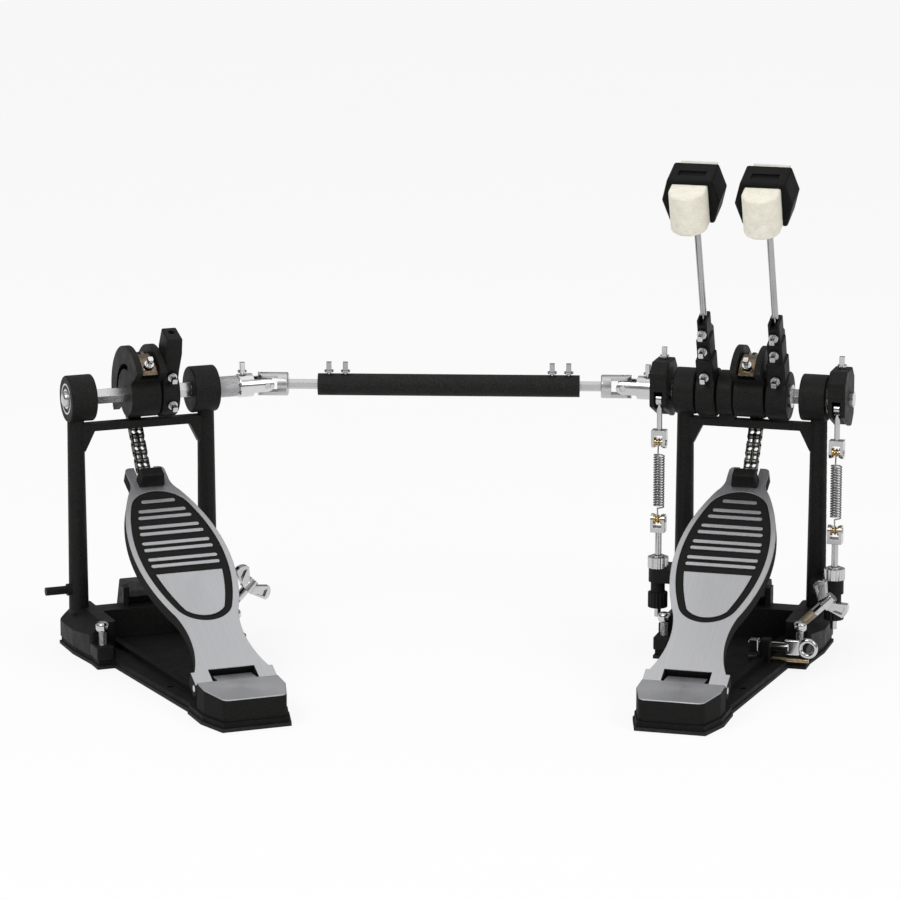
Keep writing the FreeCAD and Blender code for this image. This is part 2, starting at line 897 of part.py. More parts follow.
def frame_bores(side):
    """All holes of a frame."""
    bores = [bolt_bore()]
    seat = s.bearing_length + s.bearing_lip
    for way in (-1, 1):
        length = boss_length(side, way)
        start = boss_start(side, way, length)
        bores.append(cylinder(s.journal_radius + s.bearing_lip, length, (start, 0, s.axle_height), "x"))
        seat_start = s.boss_outer - s.bearing_length if way > 0 else -s.boss_outer - s.bearing_lip
        bores.append(cylinder(s.bearing_radius, seat, (seat_start, 0, s.axle_height), "x"))
        bores.append(cylinder(s.spike_radius + s.running_gap, s.pad_height * 2, (s.spike_offset * way, -s.spike_y, BASE_TOP)))
    pivot = (-s.jaw_half * 2, s.jaw_pivot_y, s.jaw_pivot_height)
    bores.append(cylinder(s.jaw_pin_radius + s.running_gap, s.jaw_half * 4, pivot, "x"))
    if side == "right":
        bores.extend([tension_bore(-1), tension_bore(1)])
    return bores


def make_frame(side):
    members = [foot(-1), foot(1), jaw_lug(-1), jaw_lug(1), gusset(-1), gusset(1)]
    members.append(box((-s.foot_inner, -s.wall_front, BASE_TOP), (s.foot_inner, s.wall_rear, BASE_TOP + s.wall_height)))
    bar_low = (-s.post_offset, -s.crossbar_depth / 2, CROSSBAR_TOP - s.crossbar_height)
    members.append(box(bar_low, (s.post_offset, s.crossbar_depth / 2, CROSSBAR_TOP)))
    for way in (-1, 1):
        at = (s.post_offset * way, 0, FOOT_TOP - s.plate_thickness)
        height = s.axle_height - FOOT_TOP + s.plate_thickness - s.journal_radius * 2
        members.append(cone(s.post_foot_radius, s.post_top_radius, height, at))
        length = boss_length(side, way)
        start = boss_start(side, way, length)
        members.append(barrel(s.boss_radius, length, (start, 0, s.axle_height), "x"))
    if side == "right":
        members.extend([spring_bracket(-1), spring_bracket(1)])
    else:
        tip = -s.post_offset - s.peg_reach
        members.append(cylinder(s.peg_radius, s.peg_reach, (tip, 0, s.peg_height), "x"))
        collar_start = (tip + s.peg_length, 0, s.peg_height)
        members.append(cylinder(s.peg_collar, s.peg_reach - s.peg_length, collar_start, "x"))
    stand(cut(fuse(*members), *frame_bores(side)), "frame", side)


def make_bearings(side):
    rings = []
    for way in (-1, 1):
        start = s.boss_outer - s.bearing_length if way > 0 else -s.boss_outer
        outer = cylinder(s.bearing_radius, s.bearing_length, (start, 0, s.axle_height), "x")
        bore = cylinder(s.journal_radius + s.running_gap, s.bearing_length, (start, 0, s.axle_height), "x")
        face = s.boss_outer - s.bearing_lip if way > 0 else -s.boss_outer
        groove = cylinder(s.bearing_groove_outer, s.bearing_lip, (face, 0, s.axle_height), "x")
        hub = cylinder(s.bearing_groove_inner, s.bearing_lip, (face, 0, s.axle_height), "x")
        rings.append(cut(outer, bore, cut(groove, hub)))
    stand(group(*rings), "bearings", side)


def make_spike_screws(side):
    screws = []
    for way in (-1, 1):
        x = s.spike_offset * way
        foot_length = s.pad_height + s.spike_rise
        shank = cylinder(s.spike_radius, foot_length, (x, -s.spike_y, BASE_TOP))
        head = cylinder(s.spike_head_radius, s.spike_head, (x, -s.spike_y, BASE_TOP + foot_length))
        screws.append(fuse(shank, rounded(head, s.spike_round, circular)))
    stand(group(*screws), "spike_screws", side)


def make_wing_bolt(side):
    shank = cylinder(s.bolt_radius, s.bolt_sunk + s.bolt_neck + s.wing_height / 2, (0, 0, -s.bolt_sunk))
    boss = cone(s.bolt_radius * 1.7, s.bolt_radius * 1.2, s.wing_height * 0.7, (0, 0, s.bolt_neck))
    low = s.bolt_neck
    top = s.bolt_neck + s.wing_height
    blade = [
        (s.bolt_radius, low),
        (s.wing_half, low + s.wing_height / 3, (s.wing_half * 0.97, low + s.wing_height * 0.75)),
        (s.wing_half - s.wing_height / 3, top),
        (s.bolt_radius, low + s.wing_height / 2),
    ]
    wings = prism("xz", mirrored(blade), -s.wing_thickness / 2, s.wing_thickness / 2)
    hollows = []
    for face in (-s.wing_thickness / 2, s.wing_web / 2):
        depth = (s.wing_thickness - s.wing_web) / 2
        for sign in (-1, 1):
            inside = [
                ((s.bolt_radius * 2 + s.wing_rim) * sign, low + s.wing_rim * 2),
                ((s.wing_half - s.wing_rim * 1.5) * sign, low + s.wing_height / 3 + s.wing_rim),
                ((s.wing_half - s.wing_height / 3) * sign, top - s.wing_rim * 1.6),
            ]
            hollows.append(prism("xz", inside, face, face + depth))
    stand_in(fuse(shank, boss, cut(wings, *hollows)), side + "_wing_bolt", side, bolt_frame())


def make_clamp_jaw(side):
    body = doc.addObject("PartDesign::Body", "clamp_jaw")
    profile = [
        (-s.jaw_front, s.jaw_pivot_height + s.jaw_pin_radius),
        (-s.jaw_front, s.jaw_pivot_height - s.jaw_pin_radius),
        (s.wall_rear + s.jaw_pin_radius, s.jaw_pivot_height - s.jaw_pin_radius * 2),
        (s.wall_rear + s.jaw_pin_radius * 2, s.jaw_height),
        (s.jaw_rear, s.jaw_height),
        (s.jaw_rear, s.jaw_height + s.jaw_pin_radius * 2),
        (s.jaw_rear - s.jaw_pin_radius * 3, s.jaw_top - s.jaw_pin_radius),
        (s.jaw_pivot_y, s.jaw_top),
    ]
    pad(body, "YZ_Plane", [profile], -s.jaw_half, s.jaw_half * 2)
    body_fillet(body, s.edge_round, every)
    reach = s.jaw_half + s.lug_gap + s.lug_width
    pivot = ("circle", (s.jaw_pivot_y, s.jaw_pivot_height), s.jaw_pin_radius)
    pad(body, "YZ_Plane", [pivot], -reach, reach * 2)
    stand(body, "clamp_jaw", side)


# Heel and footboard

def make_heel_block(side):
    body = doc.addObject("PartDesign::Body", "heel_block")
    rear = -s.hinge_y - s.knuckle_radius - s.heel_gap
    top = s.hinge_height + s.knuckle_radius
    plan = mirrored([(s.hinge_half, rear), (s.hinge_half, -s.heel_side), (s.heel_half_front, -s.heel_front)])
    pad(body, "XY_Plane", [plan], BASE_TOP, top - BASE_TOP)
    tongue = rectangle((-s.heel_tongue_half, rear), (s.heel_tongue_half, -s.hinge_y + s.heel_tongue_reach))
    pad(body, "XY_Plane", [tongue], BASE_TOP, top - BASE_TOP)
    fall = [(rear, top), (-s.heel_front - s.heel_flange, top), (-s.heel_front - s.heel_flange, top - s.heel_drop)]
    pocket(body, "YZ_Plane", [fall], s.hinge_half, s.hinge_half * 2)
    front = -num(s.heel_side) + 1.0
    body_fillet(body, s.heel_round, lambda edge: upright(edge) and edge.CenterOfMass.y < front)
    high = num(top - s.heel_drop - s.edge_round)
    low_rear = num(rear) - 1.0
    body_fillet(body, s.edge_round, lambda edge: edge.CenterOfMass.z > high and edge.CenterOfMass.y < low_rear)
    bore = ("circle", (-s.hinge_y, s.hinge_height), s.hinge_pin_radius)
    pocket(body, "YZ_Plane", [bore], s.hinge_half, s.hinge_half * 2)
    stand(body, "heel_block", side)


def make_hinge_pin(side):
    start = (-s.hinge_half, -s.hinge_y, s.hinge_height)
    stand(group(cylinder(s.hinge_pin_radius, s.hinge_half * 2, start, "x")), "hinge_pin", side)


def board_outline(inset):
    """The footboard seen from above its top face, drawn in by some distance."""
    end = s.toe_length - inset
    corner = s.toe_round
    slant = corner * (1 - math.sqrt(0.5))
    return mirrored([
        (s.toe_half - corner - inset, end, (s.toe_half - slant - inset, end - slant)),
        (s.toe_half - inset, end - corner),
        (s.toe_half - inset, s.neck_along + s.toe_half, (s.toe_half + 0.6 - inset, s.neck_along + s.toe_half / 2)),
        (s.neck_half - inset, s.neck_along, (s.wide_half - inset, s.wide_along)),
        (s.flare_half - inset, s.flare_along, (s.waist_half - inset, s.waist_along)),
        (s.heel_end_half - inset, s.knuckle_radius + inset),
        (s.heel_end_half - inset, s.board_start + inset),
    ])


def inlay_corners():
    """Half widths and heights of the inlay: at its toe end, at its widest and at its heel end."""
    half = s.wide_half - s.inlay_margin
    top = (half * 0.7, s.inlay_end - s.inlay_band * 3)
    low = (half * 0.64, s.inlay_start + s.inlay_band * 2.3)
    return top, (half, s.wide_along), low


def inlay_reach(along, inset):
    """Half the width of the inlay, drawn in by some distance, at a place along the board."""
    top, wide, low = [Vector(num(spot[0]), num(spot[1]), 0) for spot in inlay_corners()]
    if along > top.y:
        arc = Part.Arc(Vector(-top.x, top.y, 0), Vector(0, num(s.inlay_end), 0), top).toShape().Curve
    else:
        arc = Part.Arc(top, wide, low).toShape().Curve
    return arc.Center.x + math.sqrt((arc.Radius - inset) ** 2 - (along - arc.Center.y) ** 2)


def bar_outline(along):
    """One raised bar across the inlay, with round ends."""
    half = s.bar_width / 2
    reach = inlay_reach(num(along), num(s.bar_gap)) - half
    return mirrored([
        (reach, along + half, (reach + half, along)),
        (reach, along - half),
    ])


def inlay_outline():
    """The rim of the dark inlay, an oval drawn with four arcs."""
    (top_half, side_top), (half, middle), (low_half, side_low) = inlay_corners()
    return [
        (top_half, side_top, (half, middle)),
        (low_half, side_low, (0.0, s.inlay_start)),
        (-low_half, side_low, (-half, middle)),
        (-top_half, side_top, (0.0, s.inlay_end)),
    ]


def heel_pad_outline():
    """The bare pad left standing in the lower end of the inlay."""
    low_half, low = inlay_corners()[2]
    corner = low_half - s.inlay_band
    middle = (s.pad_top_along + low) / 2
    half, side = [inlay_reach(num(along), num(s.inlay_band)) for along in (s.pad_top_along, middle)]
    return [
        (half, s.pad_top_along, (side, middle)),
        (corner, low, (0.0, s.inlay_start + s.inlay_band)),
        (-corner, low, (-side, middle)),
        (-half, s.pad_top_along),
    ]


def inlay_bars():
    """The raised bars: pairs above the bare pad, as many as there is room for, and a single one at the toe."""
    last = s.inlay_end - s.bar_last_back
    room = last - s.pad_top_along - s.pad_bar_gap
    pairs = int(num(room / s.bar_pair_step) + 1e-6)
    bars = [bar_outline(last)]
    for pair in range(1, pairs + 1):
        along = last - s.bar_pair_step * pair
        bars.extend([bar_outline(along), bar_outline(along + s.bar_pair_gap)])
    return bars


def make_footboard(side):
    body = doc.addObject("PartDesign::Body", "footboard")
    top = s.knuckle_radius
    low = top - s.board_thickness
    pad(body, "XY_Plane", [board_outline(0.0)], low, s.board_thickness)
    knuckle = [
        (0.0, top, (-s.knuckle_radius, 0.0)),
        (0.0, -s.knuckle_radius),
        (s.notch_end - s.board_start, low),
        (s.notch_end - s.board_start, top),
    ]
    pad(body, "YZ_Plane", [knuckle], -s.hinge_half, s.hinge_half * 2)
    notch = rectangle((-s.notch_half, -s.knuckle_radius * 2), (s.notch_half, s.notch_end))
    pocket(body, "XY_Plane", [notch], s.board_thickness * 2, s.board_thickness * 4)
    bore = ("circle", (0.0, 0.0), s.hinge_pin_radius + s.running_gap)
    pocket(body, "YZ_Plane", [bore], s.hinge_half, s.hinge_half * 2)
    slot = rectangle((-s.slot_half, s.slot_start), (s.slot_half, s.toe_length * 2))
    pocket(body, "XY_Plane", [slot], s.board_thickness * 2, s.board_thickness * 4)
    hollow = mirrored([
        (s.neck_half - s.board_rim, s.neck_along - s.board_rim, (s.wide_half - s.board_rim, s.wide_along)),
        (s.flare_half - s.board_rim, s.flare_along, (s.waist_half - s.board_rim, s.waist_along)),
        (s.hinge_half - s.board_rim * 2, s.notch_end + s.board_rim * 2),
    ])
    pocket(body, "XY_Plane", [hollow], low, s.board_thickness - s.board_skin, forward=True)
    toe_bore = ("circle", (s.toe_pin_along, s.toe_pin_rise), s.toe_pin_radius)
    pocket(body, "YZ_Plane", [toe_bore], s.toe_half * 2, s.toe_half * 4)
    pocket(body, "XY_Plane", [inlay_outline(), heel_pad_outline()] + inlay_bars(), top, s.inlay_depth)
    stand_in(body, side + "_footboard", side, board_frame())


def make_toe_cap(side):
    top = s.knuckle_radius
    face = mirrored([(s.cap_top_half, top + s.cap_height), (s.cap_half, top)])
    cap = rounded(prism("xz", face, s.cap_along, s.cap_along + s.cap_length), s.edge_round, every)
    pin = cylinder(s.toe_pin_radius, s.toe_half * 2, (-s.toe_half, s.toe_pin_along, s.toe_pin_rise), "x")
    stand_in(group(cap, pin), side + "_toe_cap", side, board_frame())


# Cam and chain

def on_cam(angle, radius):
    """A point of the cam's plane; the angle in degrees starts straight down and goes round the drum side."""
    turn = math.radians(angle)
    return (radius * math.sin(turn), s.axle_height - radius * math.cos(turn))


def cam_sector(inner, outer, start, end):
    """A ring sector about the axle in the cam's plane."""
    middle = (start + end) / 2
    return [
        on_cam(start, inner),
        on_cam(start, outer) + (on_cam(middle, outer),),
        on_cam(end, outer),
        on_cam(end, inner) + (on_cam(middle, inner),),
    ]


def make_cam(side):
    start, end = num(s.cam_start), num(s.cam_end)
    floor = s.chain_radius - s.chain_plate_radius - s.cam_groove_gap
    core = s.cam_hub_radius - s.bearing_lip * 2
    at = (-s.cam_half, 0, s.axle_height)
    collar = barrel(s.cam_hub_radius, s.cam_half * 2, at, "x")
    flanges = prism("yz", cam_sector(core, s.cam_flange_radius, start, end), -s.cam_half, s.cam_half)
    groove = prism("yz", cam_sector(floor, s.cam_flange_radius * 1.2, start - 30, end + 30),
                   -s.cam_groove_half, s.cam_groove_half)
    rim = s.cam_hub_radius + s.bearing_lip * 2
    window = prism("yz", cam_sector(rim, floor - s.bearing_lip * 2, start + 25, end - 40), -s.cam_half, s.cam_half)
    hex_bore = hexagon(s.axle_flats + s.running_gap * 2, (0.0, s.axle_height), num(s.beater_lean))
    bore = prism("yz", hex_bore, -s.cam_half, s.cam_half)
    stand(cut(fuse(collar, cut(flanges, groove)), window, bore), "cam", side)


def chain_pins():
    """Every pin of the chain in a pedal's YZ plane, from the toe up to the end of the strap."""
    slope = math.radians(BOARD_SLOPE)
    along, rise = num(s.toe_pin_along), num(s.toe_pin_rise)
    toe_y = -num(s.hinge_y) + along * math.cos(slope) - rise * math.sin(slope)
    toe_z = num(s.hinge_height) + along * math.sin(slope) + rise * math.cos(slope)
    toe = Vector(0, toe_y, toe_z)
    axle = Vector(0, 0, num(s.axle_height))
    pitch, radius = num(s.chain_pitch), num(s.chain_radius)
    reach = toe.distanceToPoint(axle)
    free = math.ceil(math.sqrt(reach ** 2 - radius ** 2) / pitch)
    bend = math.acos((reach ** 2 + radius ** 2 - (free * pitch) ** 2) / (2 * reach * radius))
    first = math.atan2(toe.y - axle.y, axle.z - toe.z) + bend
    step = 2 * math.asin(pitch / 2 / radius)
    upper = axle + Vector(0, math.sin(first), -math.cos(first)) * radius
    pins = [toe + (upper - toe) * (index / free) for index in range(free)]
    for index in range(MOVING_LINKS + WRAPPED_LINKS + 1):
        angle = first + step * index
        pins.append(axle + Vector(0, math.sin(angle), -math.cos(angle)) * radius)
    return pins, free


MOVING_LINKS = 3
WRAPPED_LINKS = 6
X_AXIS = Vector(1, 0, 0)


def link_plate(low, high, radius, pitch):
    """A plate with round ends between two pins, lying along Y from the first pin."""
    top, bottom = Vector(low, 0, radius), Vector(low, 0, -radius)
    far_top, far_bottom = Vector(low, pitch, radius), Vector(low, pitch, -radius)
    edges = [
        Part.LineSegment(bottom, far_bottom).toShape(),
        Part.Arc(far_bottom, Vector(low, pitch + radius, 0), far_top).toShape(),
        Part.LineSegment(far_top, top).toShape(),
        Part.Arc(top, Vector(low, -radius, 0), bottom).toShape(),
    ]
    return Part.Face(Part.Wire(edges)).extrude(Vector(high - low, 0, 0))


def inner_link(eye):
    """The two strands of an inner link, as separate solids; an eye link has a wide hole at its first pin."""
    pitch, plate, half = num(s.chain_pitch), num(s.chain_plate), num(s.chain_inner_half)
    radius = num(s.chain_plate_radius)
    hole = num(s.chain_pin_radius) + num(s.chain_pin_gap)
    wide = num(s.toe_pin_radius) + num(s.chain_eye_gap)
    strands = []
    for way in (-0.5, 0.5):
        middle = num(s.chain_strand) * way
        low, high = middle - half - plate, middle + half + plate
        parts = [link_plate(low, low + plate, radius, pitch), link_plate(high - plate, high, radius, pitch)]
        for index in (0, 1):
            at = Vector(low, pitch * index, 0)
            roller = num(s.chain_roller_radius)
            if eye and index == 0:
                roller = wide + plate * 2
            parts.append(Part.makeCylinder(roller, high - low, at, X_AXIS))
        solid = parts[0].multiFuse(parts[1:])
        for index in (0, 1):
            at = Vector(low, pitch * index, 0)
            bore = wide if eye and index == 0 else hole
            solid = solid.cut(Part.makeCylinder(bore, high - low, at, X_AXIS))
        strands.extend(solid.Solids)
    return strands


def outer_link():
    """An outer link: three plates on two long pins, one solid."""
    pitch, plate, half = num(s.chain_pitch), num(s.chain_plate), num(s.chain_inner_half)
    radius, gap = num(s.chain_plate_radius), num(s.chain_pin_gap)
    side = num(s.chain_strand) / 2 + half + plate + gap
    thin = num(s.chain_strand) / 2 - half - plate - gap
    plates = [
        link_plate(-side - plate, -side, radius, pitch),
        link_plate(-thin, thin, radius, pitch),
        link_plate(side, side + plate, radius, pitch),
    ]
    end = side + plate * 2
    for index in (0, 1):
        at = Vector(-end, pitch * index, 0)
        plates.append(Part.makeCylinder(num(s.chain_pin_radius), end * 2, at, X_AXIS))
    return plates[0].multiFuse(plates[1:]).Solids


def chain_run(pins, first, count):
    """The links of a stretch of chain as separate solids; even links are inner ones."""
    solids = []
    for index in range(first, first + count):
        start, end = pins[index], pins[index + 1]
        link = outer_link() if index % 2 else inner_link(index == 0)
        turn = math.degrees(math.atan2(end.z - start.z, end.y - start.y))
        place = Placement(start, Rotation(X_AXIS, turn))
        for solid in link:
            moved = solid.copy()
            moved.Placement = place
            solids.append(moved)
    return solids


def add_shape(shape, name):
    """A document object for a shape that has no feature of its own."""
    item = doc.addObject("Part::Feature", name)
    item.Shape = shape
    return item


def chain_strap(last_angle):
    """The plate that holds the end of the chain on the front of the cam, and its screw."""
    end = num(s.cam_end) - 1.0
    outer = s.chain_radius + s.chain_plate_radius + s.bearing_lip
    inner = outer - s.strap_thickness
    half = s.cam_groove_half - s.bearing_lip
    plate = prism("yz", cam_sector(inner, outer, last_angle, end), -half, half)
    middle = math.radians((last_angle + 2 * end) / 3)
    way = Vector(0, math.sin(middle), -math.cos(middle))
    at = (0.0, num(outer) * way.y, num(s.axle_height) + num(outer) * way.z)
    hole = screw_hole(at, way)
    return cut(plate, hole), key_screw(at, way)


def make_chain(side):
    pins, free = chain_pins()
    drop = add_shape(Part.makeCompound(chain_run(pins, 0, free)), "chain_drop")
    stand(drop, "chain_drop", side)
    links = add_shape(Part.makeCompound(chain_run(pins, free, MOVING_LINKS)), "chain_links")
    stand(links, "chain_links", side)
    wrap = add_shape(Part.makeCompound(chain_run(pins, free + MOVING_LINKS, WRAPPED_LINKS)), "chain_wrap")
    last = pins[-1]
    angle = math.degrees(math.atan2(last.y, num(s.axle_height) - last.z)) % 360
    margin = math.degrees(num(s.chain_plate_radius) / num(s.chain_radius)) + 1.0
    stand(group(wrap, *chain_strap(angle + margin)), "chain_wrap", side)


# Axles and universal joints

def journal(start, end):
    """A round length of an axle in the leaning frame."""
    return cylinder(s.journal_radius, end - start, (start, 0, 0), "x")


def axle_collar(start, length):
    """A washer on an axle."""
    return cylinder(s.washer_radius, length, (start, 0, 0), "x")


def hex_length(start, end):
    """A hexagonal length of an axle in the leaning frame."""
    return prism("yz", hexagon(s.axle_flats, (0.0, 0.0)), start, end)


def hub_spots(middle, top, label):
    """Where the key screws of a hub stand: on the front of its arm, or on its collar."""
    low = s.hub_radius + s.bearing_lip * 2
    if label == "left_hub":
        return [(middle, -s.hub_front, low), (middle, -s.hub_radius, 0.0)]
    return [
        (middle, -s.hub_front, low),
        (middle, -s.hub_front + s.hub_step, s.hub_low_top + (s.hub_middle_top - s.hub_low_top) / 2),
        (middle, -s.hub_front + s.hub_step * 2, s.hub_middle_top + (top - s.hub_middle_top) / 3),
    ]


def clamp_arm(middle, width, top):
    """The arm of a beater hub: three nested clamp blocks in front of a fin."""
    blocks = []
    for number, high in enumerate((s.hub_low_top, s.hub_middle_top, top)):
        inset = s.hub_step * number
        half = width / 2 - s.bearing_lip - inset
        blocks.append(block((middle - half, -s.hub_front + inset, 0), (middle + half, s.hub_socket_rear, high)))
    fin_half = s.hub_fin / 2
    fin = prism("yz", [
        (0, s.hub_radius / 2),
        (0, top - s.hub_front),
        (s.hub_socket_rear, top - s.hub_front),
        (s.hub_rear + s.hub_step, s.hub_middle_top),
        (s.hub_rear + s.hub_step, s.hub_low_top),
        (s.hub_rear, s.hub_radius / 2),
    ], middle - fin_half, middle + fin_half)
    return blocks + [fin]


def empty_arm(middle, width, top):
    """The arm of the left pedal's hub, which tapers to its empty socket."""
    half = width / 2 - s.bearing_lip
    face = mirrored([
        (s.hub_socket_rear * 0.8, top),
        (half + s.bearing_lip, top - s.hub_radius * 0.75),
        (half, s.hub_radius * 1.3),
        (half, s.hub_radius / 2),
    ])
    corners = [tuple([middle + corner[0], corner[1]]) for corner in face]
    return [rounded(prism("xz", corners, -s.hub_front, s.hub_socket_rear), s.edge_round, every)]


def make_hub(label, side, start, width, top):
    """A beater hub: a collar on the axle and an arm with the socket for a beater rod."""
    collar = barrel(s.hub_radius, width, (start, 0, 0), "x")
    middle = start + width / 2
    holes = []
    if label == "left_hub":
        arm = empty_arm(middle, width, top)
    else:
        arm = clamp_arm(middle, width, top)
        slot_half = s.rod_radius + s.running_gap
        holes.append(box((middle - slot_half, -s.hub_front, top - s.hub_slot), (middle + slot_half, 0, top)))
    socket = cylinder(s.rod_radius + s.running_gap, top, (middle, 0, s.hub_radius), "z")
    bore = prism("yz", hexagon(s.axle_flats + s.running_gap * 2, (0.0, 0.0)), start, start + width)
    spots = hub_spots(middle, top, label)
    holes.extend([screw_hole(spot, (0, -1, 0)) for spot in spots])
    stand_in(cut(fuse(collar, *arm), socket, bore, *holes), label, side, leaning_frame())
    return [key_screw(spot, (0, -1, 0)) for spot in spots]


def yoke_ears(middle, way, ears):
    """Two ears of a yoke with round ends; they reach from the yoke's floor past the cross."""
    reach = s.yoke_ear_half
    outline = [
        (middle - s.yoke_floor * way - way, -reach),
        (middle + 0.0 * reach, -reach, (middle + reach * way, 0.0)),
        (middle + 0.0 * reach, reach),
        (middle - s.yoke_floor * way - way, reach),
    ]
    plane = "xy" if ears == "z" else "xz"
    pair = []
    for low, high in ((s.yoke_ear_inner, s.yoke_radius), (-s.yoke_radius, -s.yoke_ear_inner)):
        pair.append(prism(plane, outline, low, high))
    return pair


def yoke(middle, way, ears, end, gap):
    """A yoke on the X axis: a barrel that stops short of the cross and two ears on one axis."""
    floor = middle - s.yoke_floor * way
    start, length = (end, floor - end) if way > 0 else (floor, end - floor)
    round_end = num(end)
    shell = rounded(cylinder(s.yoke_radius, length, (start, 0, 0), "x"), s.rim_round,
                    lambda edge: circular(edge) and abs(edge.CenterOfMass.x - round_end) < 0.01)
    blank_start = end if way > 0 else middle - s.yoke_radius
    blank = cylinder(s.yoke_radius, length + s.yoke_floor + s.yoke_radius, (blank_start, 0, 0), "x")
    ear_pair = fuse(*yoke_ears(middle, way, ears))
    trimmed = doc.addObject("Part::MultiCommon", "ears")
    trimmed.Shapes = [ear_pair, blank]
    at = (middle, 0, -s.yoke_radius) if ears == "z" else (middle, -s.yoke_radius, 0)
    bore = cylinder(s.cross_pin_radius + gap, s.yoke_radius * 2, at, ears)
    return cut(fuse(shell, trimmed), bore)


def make_cross(label, side, middle):
    """The cross of a universal joint, drawn in the leaning frame's upright twin."""
    core = box((middle - s.cross_half, -s.cross_half, -s.cross_half), (middle + s.cross_half, s.cross_half, s.cross_half))
    level = cylinder(s.cross_pin_radius, s.cross_pin_half * 2, (middle, -s.cross_pin_half, 0), "y")
    tall = cylinder(s.cross_pin_radius, s.cross_pin_half * 2, (middle, 0, -s.cross_pin_half), "z")
    stand_in(fuse(core, level, tall), label, side, axle_frame())


def axle_frame():
    """A pedal's own frame lifted to its axle."""
    return Placement(Vector(0, 0, num(s.axle_height)), Rotation())


def make_left_axle():
    hub = make_hub("left_hub", "left", s.left_hub_start, s.left_hub_width, s.left_hub_top)
    inner = s.boss_outer - s.boss_length
    dome = cylinder(s.journal_radius, s.axle_end * 2, (-s.boss_outer - s.axle_end, 0, 0), "x")
    tip = num(-s.boss_outer) - 1.0
    lengths = fuse(
        rounded(dome, s.axle_end, lambda edge: circular(edge) and edge.CenterOfMass.x < tip),
        journal(-s.boss_outer, -inner),
        hex_length(-inner, inner),
        journal(inner, s.sleeve_end),
    )
    stand_in(group(lengths, *hub), "left_axle", "left", leaning_frame())


def make_left_yoke():
    fork = yoke(s.cross_offset, 1, "y", s.yoke_start, s.running_gap)
    sleeve = barrel(s.sleeve_radius, s.yoke_start - s.sleeve_start, (s.sleeve_start, 0, 0), "x")
    waist = cylinder(s.journal_radius + s.bearing_lip, s.rim_round * 2, (s.yoke_start - s.rim_round, 0, 0), "x")
    bore = cylinder(s.journal_radius + s.running_gap, s.sleeve_end - s.sleeve_start, (s.sleeve_start, 0, 0), "x")
    spot = (s.yoke_start + s.screw_flange_radius * 1.2, 0, s.yoke_radius)
    body = cut(fuse(fork, sleeve, waist), bore, screw_hole(spot, (0, 0, 1)))
    stand_in(group(body, key_screw(spot, (0, 0, 1))), "left_yoke", "left", axle_frame())


def make_slave_shaft():
    """The shaft of the left beater, with the yoke that the drive shaft turns."""
    screws = make_hub("left_beater_hub", "right", s.slave_hub_start, s.hub_width, s.hub_top)
    inner = s.boss_outer - s.slave_boss_length
    seat = (s.block_outer + s.block_inner) / 2 + s.running_gap * 2
    shaft = fuse(
        hex_length(-inner, -s.block_outer - s.bearing_lip),
        journal(-s.block_outer - s.bearing_lip, -seat),
        journal(-s.yoke_start, -inner),
        axle_collar(-s.arm_start + s.washer_gap, s.arm_start - s.boss_outer - s.washer_gap * 2),
    )
    lean = Placement(Vector(), Rotation(Vector(1, 0, 0), num(s.beater_lean)))
    shaft.Placement = lean
    for item in screws:
        item.Placement = lean.multiply(item.Placement)
    spot = (-s.yoke_start - s.screw_flange_radius * 1.2, 0, s.yoke_radius)
    fork = cut(yoke(-s.cross_offset, -1, "y", -s.yoke_start, s.running_gap), screw_hole(spot, (0, 0, 1)))
    arm = arm_screw(-1)
    joined = fuse(shaft, fork)
    stand_in(group(joined, key_screw(spot, (0, 0, 1)), arm, *screws), "slave_shaft", "right", axle_frame())


def make_right_axle():
    screws = make_hub("right_beater_hub", "right", s.main_hub_start, s.main_hub_width, s.hub_top)
    inner = s.boss_outer - s.boss_length
    seat = (s.block_outer + s.block_inner) / 2 - s.running_gap * 2
    lengths = fuse(
        journal(-seat, -s.block_inner + s.bearing_lip / 2),
        hex_length(-s.block_inner + s.bearing_lip / 2, inner),
        journal(inner, s.arm_start + s.arm_width + s.axle_end),
        axle_collar(s.boss_outer + s.washer_gap, s.arm_start - s.boss_outer - s.washer_gap * 2),
        axle_collar(s.main_hub_start + s.main_hub_width, s.washer_thickness),
    )
    lean = Placement(Vector(), Rotation(Vector(1, 0, 0), num(s.beater_lean)))
    lengths.Placement = lean
    for item in screws:
        item.Placement = lean.multiply(item.Placement)
    stand_in(group(lengths, arm_screw(1), *screws), "right_axle", "right", axle_frame())


def make_centre_bearing():
    length = s.block_outer - s.block_inner
    ring = barrel(s.block_radius, length, (-s.block_outer, 0, s.axle_height), "x")
    low = (-s.block_outer, -s.crossbar_depth / 2, CROSSBAR_TOP)
    stem = box(low, (-s.block_inner, s.crossbar_depth / 2, s.axle_height))
    bore = cylinder(s.journal_radius + s.running_gap, length, (-s.block_outer, 0, s.axle_height), "x")
    stand(cut(fuse(ring, stem), bore), "=centre_bearing", "right")


# Beaters

def beater_middle(name):
    """The middle of a beater's hub along the axle."""
    if name == "left":
        return s.slave_hub_start + s.hub_width / 2
    return s.main_hub_start + s.main_hub_width / 2


